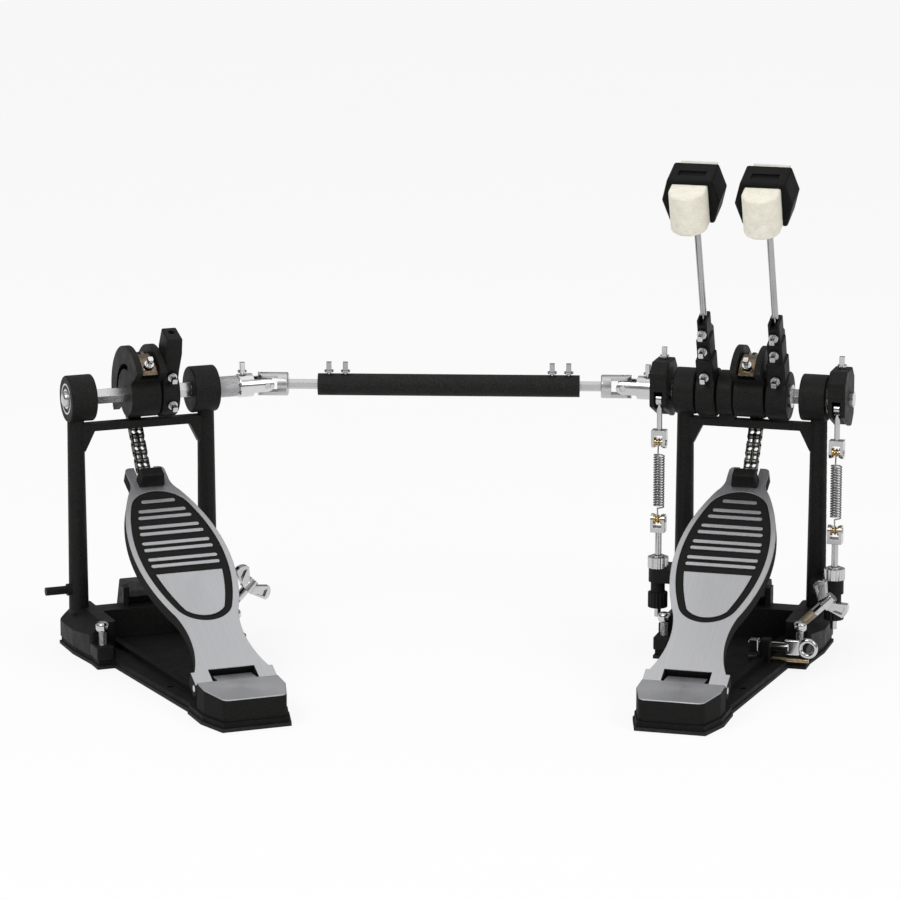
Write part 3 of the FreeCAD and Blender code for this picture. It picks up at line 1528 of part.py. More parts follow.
def make_beater(name):
    middle = beater_middle(name)
    low, high = s.head_centre - s.housing_height / 2, s.head_centre + s.housing_height / 2
    rod = cylinder(s.rod_radius, s.head_centre - s.rod_foot, (middle, 0, s.rod_foot))
    stand_in(group(rod), name + "_beater_rod", "right", leaning_frame())
    shell = [
        (middle + s.housing_top_half, high),
        (middle + s.housing_half, s.head_centre),
        (middle + s.housing_top_half, low),
        (middle - s.housing_top_half, low),
        (middle - s.housing_half, s.head_centre),
        (middle - s.housing_top_half, high),
    ]
    half = s.housing_depth / 2
    solid = rounded(prism("xz", shell, -half, half), s.housing_round, every)
    felt_top = low + s.felt_height
    channel = box((middle - s.felt_half, -half, low), (middle + s.felt_half, half, felt_top))
    slot_low = (middle - s.housing_top_half * 0.62, -half * 0.45, high - s.face_thickness)
    slot = box(slot_low, (middle + s.housing_top_half * 0.62, half * 0.1, high))
    stand_in(cut(solid, channel, slot), name + "_beater_housing", "right", leaning_frame())
    front = -half - s.felt_front
    bow = front + s.felt_half * 0.9
    plan = [
        (middle - s.felt_half, half + s.felt_rear),
        (middle - s.felt_half, bow, (middle, front)),
        (middle + s.felt_half, bow),
        (middle + s.felt_half, half + s.felt_rear),
    ]
    hole = cylinder(s.rod_radius, s.head_centre - s.rod_foot, (middle, 0, s.rod_foot))
    felt = cut(prism("xy", plan, low, felt_top), hole)
    rear = half + s.felt_rear
    face = box((middle - s.felt_half, rear, low), (middle + s.felt_half, rear + s.face_thickness, felt_top))
    stand_in(group(felt, face), name + "_beater_felt", "right", leaning_frame())


# Return springs

def arm_screw_spot(way):
    """Where the clamp screw of a spring arm stands, above the axle."""
    return ((s.arm_start + s.arm_width / 2) * way, 0, s.arm_top)


def arm_screw(way):
    """The clamp screw on top of a spring arm, in the axle's frame."""
    return key_screw(arm_screw_spot(way), (0, 0, 1))


def rocker_spot():
    """The rocker pin of a spring arm at rest, counted from the axle in the YZ plane."""
    rest = math.radians(num(s.rocker_rest))
    return (-s.rocker_radius * math.cos(rest), -s.rocker_radius * math.sin(rest))


def make_spring_arm(name, way):
    start = s.arm_start if way > 0 else -s.arm_start - s.arm_width
    corner = s.arm_rear / 2
    profile = [
        (-s.arm_front + corner, s.arm_top),
        (s.arm_rear - corner, s.arm_top),
        (s.arm_rear, s.arm_top - corner),
        (s.arm_rear, -s.arm_bottom + corner),
        (s.arm_rear - corner, -s.arm_bottom),
        (s.arm_relief, -s.arm_bottom),
        (-s.arm_front, -s.arm_nose),
        (-s.arm_front, s.arm_top - corner),
    ]
    solid = rounded(prism("yz", profile, start, start + s.arm_width), s.edge_round, every)
    pin_y, pin_z = rocker_spot()
    reach = s.eye_radius + s.eye_gap * 2
    slot_profile = [
        (-s.arm_front * 2, pin_z + reach),
        (pin_y + reach, pin_z + reach),
        (pin_y + reach, pin_z - reach / 2),
        (s.hook_width * 2, -s.arm_bottom),
        (s.hook_width * 2, -s.arm_bottom * 2),
        (-s.arm_front * 2, -s.arm_bottom * 2),
    ]
    middle = s.spring_offset * way
    slot = prism("yz", slot_profile, middle - s.arm_slot / 2, middle + s.arm_slot / 2)
    bore = cylinder(s.journal_radius + s.running_gap, s.arm_width, (start, 0, 0), "x")
    body = cut(solid, slot, bore, screw_hole(arm_screw_spot(way), (0, 0, 1)))
    pin = cylinder(s.rocker_pin_radius, s.arm_width, (start, pin_y, pin_z), "x")
    stand_in(fuse(body, pin), name + "_spring_arm", "right", axle_frame())


def spool(x, height):
    """The grooved bush of a clevis that the end of a spring hangs on."""
    y = -s.spring_y
    gap = s.clevis_slot / 2
    core = cylinder(s.spool_core, s.clevis_slot, (x - gap, y, height), "x")
    left = cylinder(s.spool_radius, s.spool_rim, (x - gap, y, height), "x")
    right = cylinder(s.spool_radius, s.spool_rim, (x + gap - s.spool_rim, y, height), "x")
    return [core, left, right]


def clevis(x, low, way):
    """A fork that stands on a height and opens up or down, with a bush between its plates."""
    y = -s.spring_y
    depth, half, gap = s.clevis_depth / 2, s.clevis_half, s.clevis_slot / 2
    root, end = (low, low + s.clevis_height) if way > 0 else (low + s.clevis_height, low)
    eye = end - s.clevis_eye_depth * way
    outline = [
        (y - depth, root),
        (y - depth, eye, (y, eye + depth * way)),
        (y + depth, eye),
        (y + depth, root),
    ]
    plates = [prism("yz", outline, x - half, x - gap), prism("yz", outline, x + gap, x + half)]
    web_low, web_high = sorted((root, root + s.clevis_web * way), key=num)
    web = box((x - half, y - depth, web_low), (x + half, y + depth, web_high))
    rim = half + s.bush_rim
    pin = cylinder(s.eye_pin_radius, rim * 2, (x - rim, y, eye), "x")
    return fuse(web, pin, *plates, *spool(x, eye))


def make_spring_hook(name, way):
    """The eye on the rocker pin with the upper clevis of a return spring below it."""
    x = s.spring_offset * way
    pin_z = rocker_spot()[1]
    half = s.hook_width / 2
    height = s.axle_height + pin_z
    ring = cylinder(s.eye_radius, s.hook_width, (x - half, -s.spring_y, height), "x")
    hole = cylinder(s.rocker_pin_radius + s.eye_gap, s.hook_width, (x - half, -s.spring_y, height), "x")
    low = s.spring_top + s.clevis_gap
    stem = cylinder(half, height - low - s.clevis_height, (x, -s.spring_y, low + s.clevis_height))
    body = cut(fuse(ring, stem), hole)
    stand(fuse(body, clevis(x, low, -1)), "=" + name + "_spring_hook", "right")


def biarc(start, start_way, end, end_way):
    """Two arcs that leave one point and reach another in given directions."""
    span = end - start
    both = start_way + end_way
    bend = 2 * (1 - start_way.dot(end_way))
    lean = span.dot(both)
    if bend < 1e-9:
        reach = span.dot(span) / (4 * span.dot(end_way))
    else:
        reach = (-lean + math.sqrt(lean ** 2 + bend * span.dot(span))) / bend
    joint = (start + end + (start_way - end_way) * reach) * 0.5
    return [arc_from(start, start_way, joint), arc_from(end, end_way * -1, joint)]


def arc_from(start, way, end):
    """The arc that leaves a point in a direction and ends at another."""
    chord = end - start
    half = way.getAngle(chord)
    middle = (start + end) * 0.5
    if half < 1e-6:
        return Part.LineSegment(start, end).toShape()
    corner = start + way * (chord.Length / 2 / math.cos(half))
    lift = math.tan(half / 2) / math.tan(half)
    return Part.Arc(start, middle + (corner - middle) * lift, end).toShape()


def spring_path():
    """Points and directions of a return spring: an end on its axis, the turns, and the other end."""
    radius = num(s.spring_radius - s.spring_wire / 2)
    low, high, lead = num(s.spring_bottom), num(s.spring_top), num(s.spring_lead)
    turns = int((high - low - 2 * lead) / num(s.spring_pitch))
    stub = num(s.clevis_gap + s.clevis_eye_depth - s.spool_core - s.spring_end_gap)
    rise = (high - low - 2 * lead) / turns
    steps = [(Vector(0, 0, low - stub), Vector(0, 0, 1)), (Vector(0, 0, low), Vector(0, 0, 1))]
    for quarter in range(turns * 4 + 1):
        angle = math.pi / 2 * quarter
        spot = Vector(radius * math.cos(angle), radius * math.sin(angle), low + lead + rise * quarter / 4)
        way = Vector(-radius * math.sin(angle), radius * math.cos(angle), rise / 2 / math.pi).normalize()
        steps.append((spot, way))
    steps.append((Vector(0, 0, high), Vector(0, 0, 1)))
    steps.append((Vector(0, 0, high + stub), Vector(0, 0, 1)))
    return steps


def spring_shape():
    """One unbroken wire wound into a spring."""
    steps = spring_path()
    edges = []
    for (spot, way), (next_spot, next_way) in zip(steps, steps[1:]):
        edges.extend(biarc(spot, way, next_spot, next_way))
    ordered = Part.Wire(Part.__sortEdges__(edges))
    start = steps[0][0]
    ring = Part.Wire(Part.makeCircle(num(s.spring_wire) / 2, start, Vector(0, 0, 1)))
    shell = Part.BRepOffsetAPI.MakePipeShell(ordered)
    shell.add(ring)
    shell.build()
    shell.makeSolid()
    return shell.shape(), ordered


def least_gap(path):
    """The least distance between turns of a wire, measured on points along it."""
    wire = num(s.spring_wire)
    spots = path.discretize(Distance=0.5)
    far = int(math.pi * num(s.spring_radius) / 0.5)
    least = min(spots[i].distanceToPoint(spots[j])
                for i in range(len(spots)) for j in range(i + far, min(i + 4 * far, len(spots))))
    return least - wire


def make_spring(name, way):
    shape, path = spring_shape()
    print("%s spring: least gap between turns %.2f mm" % (name, least_gap(path)))
    moved = shape.copy()
    moved.Placement = Placement(Vector(num(s.spring_offset) * way, -num(s.spring_y), 0), Rotation())
    holder = add_shape(Part.makeCompound(moved.Solids), name + "_spring")
    stand(holder, "=" + name + "_spring", "right")


def make_tension_rods():
    rods = []
    for way in (-1, 1):
        x = s.spring_offset * way
        low = s.spring_bottom - s.clevis_gap - s.clevis_height
        rod = cylinder(s.tension_radius, low - s.tension_foot, (x, -s.spring_y, s.tension_foot))
        rods.append(fuse(rod, clevis(x, low, 1)))
    stand(group(*rods), "=tension_rods", "right")


def make_thumb_nut(name, way):
    x, y = s.spring_offset * way, -s.spring_y
    top = s.bracket_top + s.nut_height
    disc = ridged((x, y), s.nut_radius, s.nut_ridge, int(num(s.nut_ridges)), s.bracket_top, top)
    collar = cylinder(s.nut_radius * 0.6, s.rim_round, (x, y, top))
    bore = cylinder(s.tension_radius + s.running_gap, s.nut_height + s.rim_round, (x, y, s.bracket_top))
    stand(cut(fuse(disc, collar), bore), "=" + name + "_thumb_nut", "right")


# Tuning key and its clip

def key_clip():
    """The clip on the base plate that holds the tuning key and a rod below it."""
    low = (s.clip_start, -s.key_y - s.clip_half, BASE_TOP - s.rim_round)
    return block(low, (s.clip_start + s.clip_width, -s.key_y + s.clip_half, s.key_height + s.clip_half))


def key_bores():
    """The holes of the clip; the lower one goes through the rib beside it."""
    return [
        cylinder(s.key_radius, s.clip_width, (s.clip_start, -s.key_y, s.key_height), "x"),
        cylinder(s.clip_rod_radius, s.clip_width + s.rib_width,
                 (s.clip_start - s.rib_width, -s.key_y, s.clip_rod_height), "x"),
    ]


def make_drum_key():
    y, z = -s.key_y, s.key_height
    end = s.key_start + s.key_length
    stem = cylinder(s.key_radius, s.key_length + s.key_radius, (s.key_start, y, z), "x")
    nose = block((s.key_start, y - s.key_nose, z - s.key_nose), (s.clip_start - s.rim_round, y + s.key_nose, z + s.key_nose))
    half = s.screw_head / 2 + s.running_gap
    socket = box((s.key_start, y - half, z - half), (s.key_start + s.screw_head_height, y + half, z + half))
    plate = block((end, y - s.key_plate / 2, z - s.key_ring), (end + s.key_ring * 2, y + s.key_plate / 2, z + s.key_ring))
    ring = doc.addObject("Part::Torus", "ring")
    set_size(ring, "Radius1", s.key_ring)
    set_size(ring, "Radius2", s.key_plate / 2)
    move(ring, (end + s.key_ring * 3, y, z), TURNS["y"])
    key = cut(fuse(stem, nose, plate, ring), socket)
    rod = cylinder(s.clip_rod_radius, s.clip_rod_length, (s.key_start, y, s.clip_rod_height), "x")
    stand(group(key, rod), "=drum_key", "right")


# Drive shaft, drawn along X from the left cross

def cross_point(side):
    """The middle of a pedal's universal joint."""
    reach = num(s.cross_offset) * (1 if side == "left" else -1)
    return pose(side).multVec(Vector(reach, 0, num(s.axle_height)))


def shaft_frame():
    """The frame of the drive shaft: origin on the left cross, X towards the right one."""
    start, end = cross_point("left"), cross_point("right")
    angle = math.degrees(math.atan2(end.y - start.y, end.x - start.x))
    return Placement(start, Rotation(Vector(0, 0, 1), angle))


def shaft_span():
    """The distance between the two crosses."""
    return cross_point("left").distanceToPoint(cross_point("right"))


def place_on_shaft(item, label):
    """Place a sub-part that was drawn in the drive shaft's frame."""
    item.Placement = shaft_frame()
    add_node(item, label)


def hex_rod(start, end):
    """A length of the sliding hexagonal rod."""
    return prism("yz", hexagon(s.rod_flats, (0.0, 0.0)), start, end)


def make_drive_shaft():
    span = shaft_span()
    tube_end = s.tube_start + s.tube_length
    left = fuse(yoke(0.0 * s.yoke_floor, -1, "z", s.yoke_outer_end, s.cross_open_gap),
                hex_rod(s.yoke_floor, s.tube_start + s.rod_engagement))
    place_on_shaft(left, "left_slide_rod")
    right = fuse(yoke(0.0 * s.yoke_floor + span, 1, "z", span - s.yoke_outer_end, s.cross_open_gap),
                 hex_rod(tube_end - s.rod_engagement, span - s.yoke_floor))
    place_on_shaft(right, "right_slide_rod")
    tube = cylinder(s.tube_radius, s.tube_length, (s.tube_start, 0, 0), "x")
    bore = prism("yz", hexagon(s.rod_flats + s.rod_slide_gap * 2, (0.0, 0.0)), s.tube_start, tube_end)
    places = []
    for index in (0, 1):
        inset = s.tube_screw_first + s.tube_screw_step * index
        places.extend([s.tube_start + inset, tube_end - inset])
    spots = [(place, 0, s.tube_radius) for place in places]
    holes = [screw_hole(spot, (0, 0, 1)) for spot in spots]
    place_on_shaft(cut(tube, bore, *holes), "shaft_tube")
    place_on_shaft(group(*[key_screw(spot, (0, 0, 1)) for spot in spots]), "tube_screws")


def build():
    """Every sub-part of the assembly."""
    for side in ("left", "right"):
        make_sole(side)
        make_base_plate(side)
        make_frame(side)
        make_bearings(side)
        make_spike_screws(side)
        make_wing_bolt(side)
        make_clamp_jaw(side)
        make_heel_block(side)
        make_hinge_pin(side)
        make_footboard(side)
        make_toe_cap(side)
        make_cam(side)
        make_chain(side)
    make_left_axle()
    make_left_yoke()
    make_slave_shaft()
    make_right_axle()
    make_centre_bearing()
    make_cross("left_cross", "left", s.cross_offset)
    make_cross("right_cross", "right", -s.cross_offset)
    make_drive_shaft()
    for name, way in (("left", -1), ("right", 1)):
        make_beater(name)
        make_spring_arm(name, way)
        make_spring_hook(name, way)
        make_spring(name, way)
        make_thumb_nut(name, way)
    make_tension_rods()
    make_drum_key()


def export():
    """Check every object and write one file for each sub-part."""
    doc.recompute()
    for item in doc.Objects:
        if "Invalid" in item.State or "Error" in item.State:
            raise RuntimeError("%s (%s) is %s" % (item.Name, item.Label, item.State))
    os.makedirs("parts", exist_ok=True)
    for node in NODES:
        shape = node.Shape
        if shape.isNull() or not shape.isValid() or not shape.Solids:
            raise RuntimeError("the shape of %s is not a valid solid" % node.Label)
        shape.exportStep("parts/%s.step" % node.Label)
    print("%d sub-parts written" % len(NODES))


build()
export()
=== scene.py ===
"""Looks of the double bass drum pedal: procedural materials on the CAD frame, felts, springs, studio."""
import math

import bmesh
import bpy
from mathutils import Euler, Matrix, Vector, noise


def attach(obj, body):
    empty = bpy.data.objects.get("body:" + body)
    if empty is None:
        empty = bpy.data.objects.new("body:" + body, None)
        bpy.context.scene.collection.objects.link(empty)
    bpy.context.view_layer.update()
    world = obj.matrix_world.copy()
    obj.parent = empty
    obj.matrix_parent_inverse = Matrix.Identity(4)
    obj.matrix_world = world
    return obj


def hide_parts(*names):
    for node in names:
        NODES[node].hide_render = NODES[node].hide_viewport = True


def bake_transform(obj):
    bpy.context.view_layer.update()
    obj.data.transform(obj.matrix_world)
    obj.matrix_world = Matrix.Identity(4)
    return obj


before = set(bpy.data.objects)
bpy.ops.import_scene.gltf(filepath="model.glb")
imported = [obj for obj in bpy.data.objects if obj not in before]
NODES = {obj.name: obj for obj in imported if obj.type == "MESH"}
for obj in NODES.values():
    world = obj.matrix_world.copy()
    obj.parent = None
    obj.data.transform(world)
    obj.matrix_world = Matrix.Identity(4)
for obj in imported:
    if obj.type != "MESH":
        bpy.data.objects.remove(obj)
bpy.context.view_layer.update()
MM = 0.001

# Places of the two pedals in the row frame: X, Y and turn, as the CAD model has them (millimetres, degrees)
PLACE = {"left": (-280.4, 130.8, 21.3), "right": (271.0, 127.7, -15.9)}

# Places and sizes within a pedal that the pieces and materials are set by (millimetres and degrees)
AXLE_HEIGHT = 230.0
BEATER_LEAN = 20.0
HINGE_Y, HINGE_HEIGHT = -257.999, 24.5
BOARD_SLOPE = 27.299
BOARD_FACE = 6.3
HEEL_CREST = -266.0
HEEL_HEIGHT = 31.5
HEEL_SLOPE = 4.5 / 51.0
HEEL_SKIN = 0.6
SPRING_OFFSET = 81.5
SPRING_Y = -17.75
BUSH_RADIUS = 4.6
BUSH_HALF = 3.7
BOLT_X, BOLT_HEIGHT, BOLT_RISE = 62.5, 37.2, 44.0
BOLT_SHANK = 12.5
BOLT_PITCH = 1.25
SPIKE_THREAD = (1.0, 20.5, 31.5)
KEY_ROD_TOP = 12.4
STRAND_OFFSET = 2.82
ROLLER_HALF = 1.5
STRAP_START = -169.0
STRAP_RADIUS = 39.2
SHIELD_INNER, SHIELD_OUTER = 9.0, 12.4
SLEEVE_START, SLEEVE_END = 71.0, 90.5


def pedal_matrix(side):
    """The frame of a pedal: X across, Y towards the drum, Z up, origin on the floor below its axle."""
    x, y, turn = PLACE[side]
    return Matrix.Translation((x * MM, y * MM, 0)) @ Matrix.Rotation(math.radians(turn), 4, "Z")


def leaning_matrix():
    """The frame of the beaters: origin on the right axle, Z along the beater rods."""
    return axle_matrix("right") @ Matrix.Rotation(math.radians(BEATER_LEAN), 4, "X")


def board_matrix(side):
    """The frame of a footboard: origin on its hinge pin, Y along the board, Z out of its top."""
    seat = Matrix.Translation((0, HINGE_Y * MM, HINGE_HEIGHT * MM))
    return pedal_matrix(side) @ seat @ Matrix.Rotation(math.radians(BOARD_SLOPE), 4, "X")


def axle_matrix(side):
    """A pedal's frame lifted to its axle."""
    return pedal_matrix(side) @ Matrix.Translation((0, 0, AXLE_HEIGHT * MM))


# Node graphs

class Graph:
    """A material's node tree with short calls for the nodes used here."""

    def __init__(self, name):
        self.material = bpy.data.materials.new(name)
        self.material.use_nodes = True
        self.tree = self.material.node_tree
        self.shader = self.tree.nodes["Principled BSDF"]
        self.object = self.node("ShaderNodeTexCoord").outputs["Object"]

    def node(self, kind, **settings):
        """A new node with some of its settings."""
        item = self.tree.nodes.new(kind)
        for key, value in settings.items():
            setattr(item, key, value)
        return item

    def put(self, socket, value):
        """Link an output to a socket, or set a constant on it."""
        if isinstance(value, bpy.types.NodeSocket):
            self.tree.links.new(value, socket)
        elif isinstance(value, (tuple, list)) and len(value) == 3 and socket.type == "RGBA":
            socket.default_value = (*value, 1.0)
        else:
            socket.default_value = value

    def set(self, **values):
        """Give sockets of the shader their values; underscores stand for spaces."""
        for key, value in values.items():
            self.put(self.shader.inputs[key.replace("_", " ")], value)

    def math(self, operation, first, second=0.0):
        """A sum, product or other operation on one or two numbers."""
        item = self.node("ShaderNodeMath", operation=operation)
        self.put(item.inputs[0], first)
        self.put(item.inputs[1], second)
        return item.outputs[0]

    def local(self, matrix):
        """Object coordinates in a frame of their own, in metres."""
        item = self.node("ShaderNodeMapping", vector_type="TEXTURE")
        self.put(item.inputs["Vector"], self.object)
        item.inputs["Location"].default_value = matrix.to_translation()
        item.inputs["Rotation"].default_value = matrix.to_euler("XYZ")
        return item.outputs[0]

    def between(self, value, low, high, soft):
        """1 between two places and 0 outside them, with soft passages."""
        return self.math("SUBTRACT", self.step(value, low, soft), self.step(value, high, soft))

    def length(self, first, second):
        """The length of a vector of two parts."""
        squares = self.math("ADD", self.math("MULTIPLY", first, first), self.math("MULTIPLY", second, second))
        return self.math("SQRT", squares)

    def scaled(self, vector, factors):
        """A vector with each part multiplied by a factor."""
        item = self.node("ShaderNodeVectorMath", operation="MULTIPLY")
        self.put(item.inputs[0], vector)
        item.inputs[1].default_value = factors
        return item.outputs[0]

    def split(self, vector):
        """The three parts of a vector."""
        item = self.node("ShaderNodeSeparateXYZ")
        self.put(item.inputs[0], vector)
        return item.outputs[0], item.outputs[1], item.outputs[2]

    def wave(self, value, pitch):
        """A sine wave along a length in metres; its pitch is in millimetres."""
        return self.math("SINE", self.math("MULTIPLY", value, 2 * math.pi / (pitch * MM)))

    def noise(self, scale, detail=3.0, vector=None, roughness=0.55):
        """Cloudy noise between 0 and 1, on the object coordinates unless a vector is given."""
        item = self.node("ShaderNodeTexNoise")
        self.put(item.inputs["Vector"], self.object if vector is None else vector)
        item.inputs["Scale"].default_value = scale
        item.inputs["Detail"].default_value = detail
        item.inputs["Roughness"].default_value = roughness
        return item.outputs["Fac"]

    def span(self, value, low, high, start=0.0, end=1.0):
        """Map a value from one range to another, held at both ends."""
        item = self.node("ShaderNodeMapRange")
        for socket, amount in zip(item.inputs, (value, low, high, start, end)):
            self.put(socket, amount)
        return item.outputs[0]

    def step(self, value, edge, soft):
        """0 below an edge and 1 above it, with a soft passage."""
        return self.span(value, edge - soft, edge + soft)

    def below(self, value, edge, soft):
        """1 below an edge and 0 above it, with a soft passage."""
        return self.math("SUBTRACT", 1.0, self.step(value, edge, soft))

    def ramp(self, value, stops):
        """A colour between stops, each a place and its colour."""
        item = self.node("ShaderNodeValToRGB")
        self.put(item.inputs[0], value)
        while len(item.color_ramp.elements) < len(stops):
            item.color_ramp.elements.new(0.5)
        for element, (place, colour) in zip(item.color_ramp.elements, stops):
            element.position = place
            element.color = (*colour, 1.0)
        return item.outputs[0]

    def mix(self, share, first, second):
        """A colour between two others."""
        item = self.node("ShaderNodeMix", data_type="RGBA")
        self.put(item.inputs["Factor"], share)
        self.put(item.inputs[6], first)
        self.put(item.inputs[7], second)
        return item.outputs[2]

    def blend(self, share, first, second):
        """A number between two others."""
        item = self.node("ShaderNodeMix", data_type="FLOAT")
        self.put(item.inputs["Factor"], share)
        self.put(item.inputs[2], first)
        self.put(item.inputs[3], second)
        return item.outputs[0]

    def edge(self, radius):
        """A normal that rounds sharp edges over millimetres, and how far it leaves the surface's own."""
        item = self.node("ShaderNodeBevel", samples=4)
        item.inputs["Radius"].default_value = radius * MM
        geometry = self.node("ShaderNodeNewGeometry")
        turn = self.node("ShaderNodeVectorMath", operation="DOT_PRODUCT")
        self.put(turn.inputs[0], item.outputs[0])
        self.put(turn.inputs[1], geometry.outputs["Normal"])
        return item.outputs[0], self.span(turn.outputs["Value"], 0.98, 0.75)

    def bump(self, height, strength, distance, normal=None):
        """Relief by a height; the distance is in millimetres."""
        item = self.node("ShaderNodeBump")
        item.inputs["Strength"].default_value = strength
        item.inputs["Distance"].default_value = distance * MM
        self.put(item.inputs["Height"], height)
        if normal is not None:
            self.put(item.inputs["Normal"], normal)
        self.put(self.shader.inputs["Normal"], item.outputs[0])


# Materials

# Colours of materials, as linear red, green and blue
BLACK_TINT = (1.0, 1.05, 0.95)
# Greys mixed onto the edges of the coat and of the plastic: a painted highlight
COAT_EDGE_HIGHLIGHT = (0.09, 0.09, 0.09)
PLASTIC_EDGE_HIGHLIGHT = (0.05, 0.05, 0.052)
BRIGHT_STEEL = (0.62, 0.62, 0.63)
PIN_STEEL = (0.6, 0.6, 0.6)
SLIDE_STEEL = (0.58, 0.58, 0.59)
YOKE_STEEL = (0.7, 0.7, 0.71)
FROSTED_STEEL = (0.5, 0.5, 0.51)
BEARING_STEEL = (0.66, 0.66, 0.67)
BEARING_SHIELD = (0.03, 0.03, 0.032)
WING_CHROME = (0.6, 0.6, 0.61)
FORK_CHROME = (0.52, 0.52, 0.53)
ROD_CHROME = (0.42, 0.42, 0.43)
NUT_CHROME = (0.64, 0.64, 0.65)
SPRING_CHROME = (0.36, 0.36, 0.365)
STRAP_SCREW = (0.7, 0.7, 0.71)
THREAD_DIRT = (0.2, 0.19, 0.18)

# Stops of colour ramps: a place between 0 and 1 and the colour there
COAT_PLACES = (0.38, 0.54, 0.72)
PLASTIC_STOPS = [(0.3, (0.004, 0.0043, 0.004)), (0.7, (0.008, 0.0084, 0.0077))]
BRUSHED_STOPS = [(0.3, (0.45, 0.453, 0.47)), (0.5, (0.50, 0.503, 0.52)), (0.72, (0.55, 0.553, 0.57))]
SANDY_STOPS = [(0.35, (0.007, 0.0073, 0.0067)), (0.65, (0.016, 0.0166, 0.0154))]
LINK_STOPS = [(0.3, (0.02, 0.02, 0.02)), (0.7, (0.07, 0.069, 0.066))]
ROLLER_STOPS = [(0.3, (0.17, 0.185, 0.165)), (0.7, (0.30, 0.32, 0.285))]
BRONZE_STOPS = [(0.3, (0.09, 0.07, 0.05)), (0.7, (0.22, 0.17, 0.12))]
BRASS_STOPS = [(0.3, (0.36, 0.22, 0.07)), (0.7, (0.62, 0.43, 0.17))]
SHANK_STOPS = [(0.3, (0.26, 0.20, 0.13)), (0.7, (0.48, 0.40, 0.29))]
# Brownish colour of the key's rod: a painted shadow under the key
KEY_ROD_SHADOW_STOPS = [(0.3, (0.24, 0.17, 0.10)), (0.7, (0.42, 0.32, 0.2))]
FELT_STOPS = [(0.32, (0.72, 0.67, 0.54)), (0.5, (0.90, 0.86, 0.73)), (0.68, (0.96, 0.94, 0.84))]
FACE_STOPS = [(0.3, (0.70, 0.69, 0.66)), (0.7, (0.84, 0.83, 0.80))]
FLOOR_STOPS = [(0.3, (0.93, 0.93, 0.93)), (0.7, (0.95, 0.95, 0.95))]

# Soft passages between two finishes: widths in metres, and an angle in radians
HAIR_EDGE = 0.0001
CLEAR_EDGE = 0.0002
SOFT_EDGE = 0.0003
FROST_EDGE = 0.0004
STRAP_EDGE = 0.004

# Patterns: counts round an axle, noise scales per metre, and how much wider a band is than a scratch
RINGS = 2600.0
KNURLS = 42.0
KNURL_TWIST = 4200.0
SCRATCH_ACROSS = 5200.0
SCRATCH_ALONG = 36.0
BAND_WIDTH = 9
FIBRES = (240.0, 700.0, 1500.0)
PLASTIC_CELLS = 1100.0


def powder_coat(name, dark, light, grain, rough):
    """Black powder coat: a fine sandy skin, cloudier on large faces, with a painted highlight in patches
    along its edges.
    """
    g = Graph(name)
    sand = g.noise(grain, detail=2.0)
    cloud = g.noise(24.0, detail=4.0)
    normal, edge_highlight = g.edge(1.0)
    shades = [tuple(level * part for part in BLACK_TINT) for level in (dark, light, light * 2.0)]
    tone = g.ramp(sand, list(zip(COAT_PLACES, shades)))
    # Edges lightened in patches: a painted highlight
    edge_highlight_patches = g.math("MULTIPLY", edge_highlight, g.span(cloud, 0.45, 0.7))
    g.set(Base_Color=g.mix(g.math("MULTIPLY", edge_highlight_patches, 0.5), tone, COAT_EDGE_HIGHLIGHT))
    uneven = g.span(g.noise(70.0), 0.3, 0.7, rough - 0.07, rough + 0.07)
    g.set(Roughness=uneven, Specular_IOR_Level=0.16)
    g.bump(sand, strength=0.35, distance=0.12, normal=normal)
    return g.material


def moulded_plastic(name):
    """Matte black moulded plastic with a faint leather-like grain and a painted highlight along its edges."""
    g = Graph(name)
    cells = g.node("ShaderNodeTexVoronoi", feature="F1")
    g.put(cells.inputs["Vector"], g.object)
    cells.inputs["Scale"].default_value = PLASTIC_CELLS
    normal, edge_highlight = g.edge(1.0)
    tone = g.ramp(g.noise(60.0), PLASTIC_STOPS)
    # Edges lightened: a painted highlight
    g.set(Base_Color=g.mix(g.math("MULTIPLY", edge_highlight, 0.3), tone, PLASTIC_EDGE_HIGHLIGHT))
    g.set(Roughness=g.span(g.noise(120.0), 0.3, 0.7, 0.5, 0.62), Specular_IOR_Level=0.1)
    g.bump(cells.outputs["Distance"], strength=0.2, distance=0.1, normal=normal)
    return g.material


def rubber(name, dark, light):
    """Dull rubber with a dusty bloom."""
    g = Graph(name)
    dust = g.noise(180.0, detail=5.0)
    normal, _ = g.edge(0.6)
    g.set(Base_Color=g.ramp(dust, [(0.35, (dark,) * 3), (0.7, (light,) * 3)]))
    g.set(Roughness=g.span(dust, 0.3, 0.7, 0.72, 0.88), Specular_IOR_Level=0.25)
    g.bump(g.noise(1400.0, detail=2.0), strength=0.25, distance=0.1, normal=normal)
    return g.material


def polished(g, tone, rough):
    """Bright plated metal with smudges and faint wiping marks; returns its colour and roughness."""
    smudge = g.noise(55.0, detail=5.0)
    colour = g.ramp(smudge, [(0.3, tuple(part * 0.86 for part in tone)), (0.65, tone)])
    return colour, g.span(smudge, 0.3, 0.75, rough * 0.7, rough * 1.6)


def chrome(name, tone=BRIGHT_STEEL, rough=0.11, thread=None):
    """Chrome plate; a thread gives its pitch and the two heights between which it runs, in millimetres."""
    g = Graph(name)
    colour, roughness = polished(g, tone, rough)
    normal, _ = g.edge(0.5)
    g.set(Base_Color=colour, Roughness=roughness, Metallic=1.0)
    height = g.noise(300.0)
    strength = 0.05
    if thread is not None:
        pitch, low, high = thread
        z = g.split(g.object)[2]
        inside = g.between(z, low * MM, high * MM, SOFT_EDGE)
        height = g.math("MULTIPLY", g.wave(z, pitch), inside)
        strength = 0.9
        g.set(Base_Color=g.mix(g.math("MULTIPLY", inside, 0.35), colour, THREAD_DIRT))
    g.bump(height, strength=strength, distance=0.25, normal=normal)
    return g.material


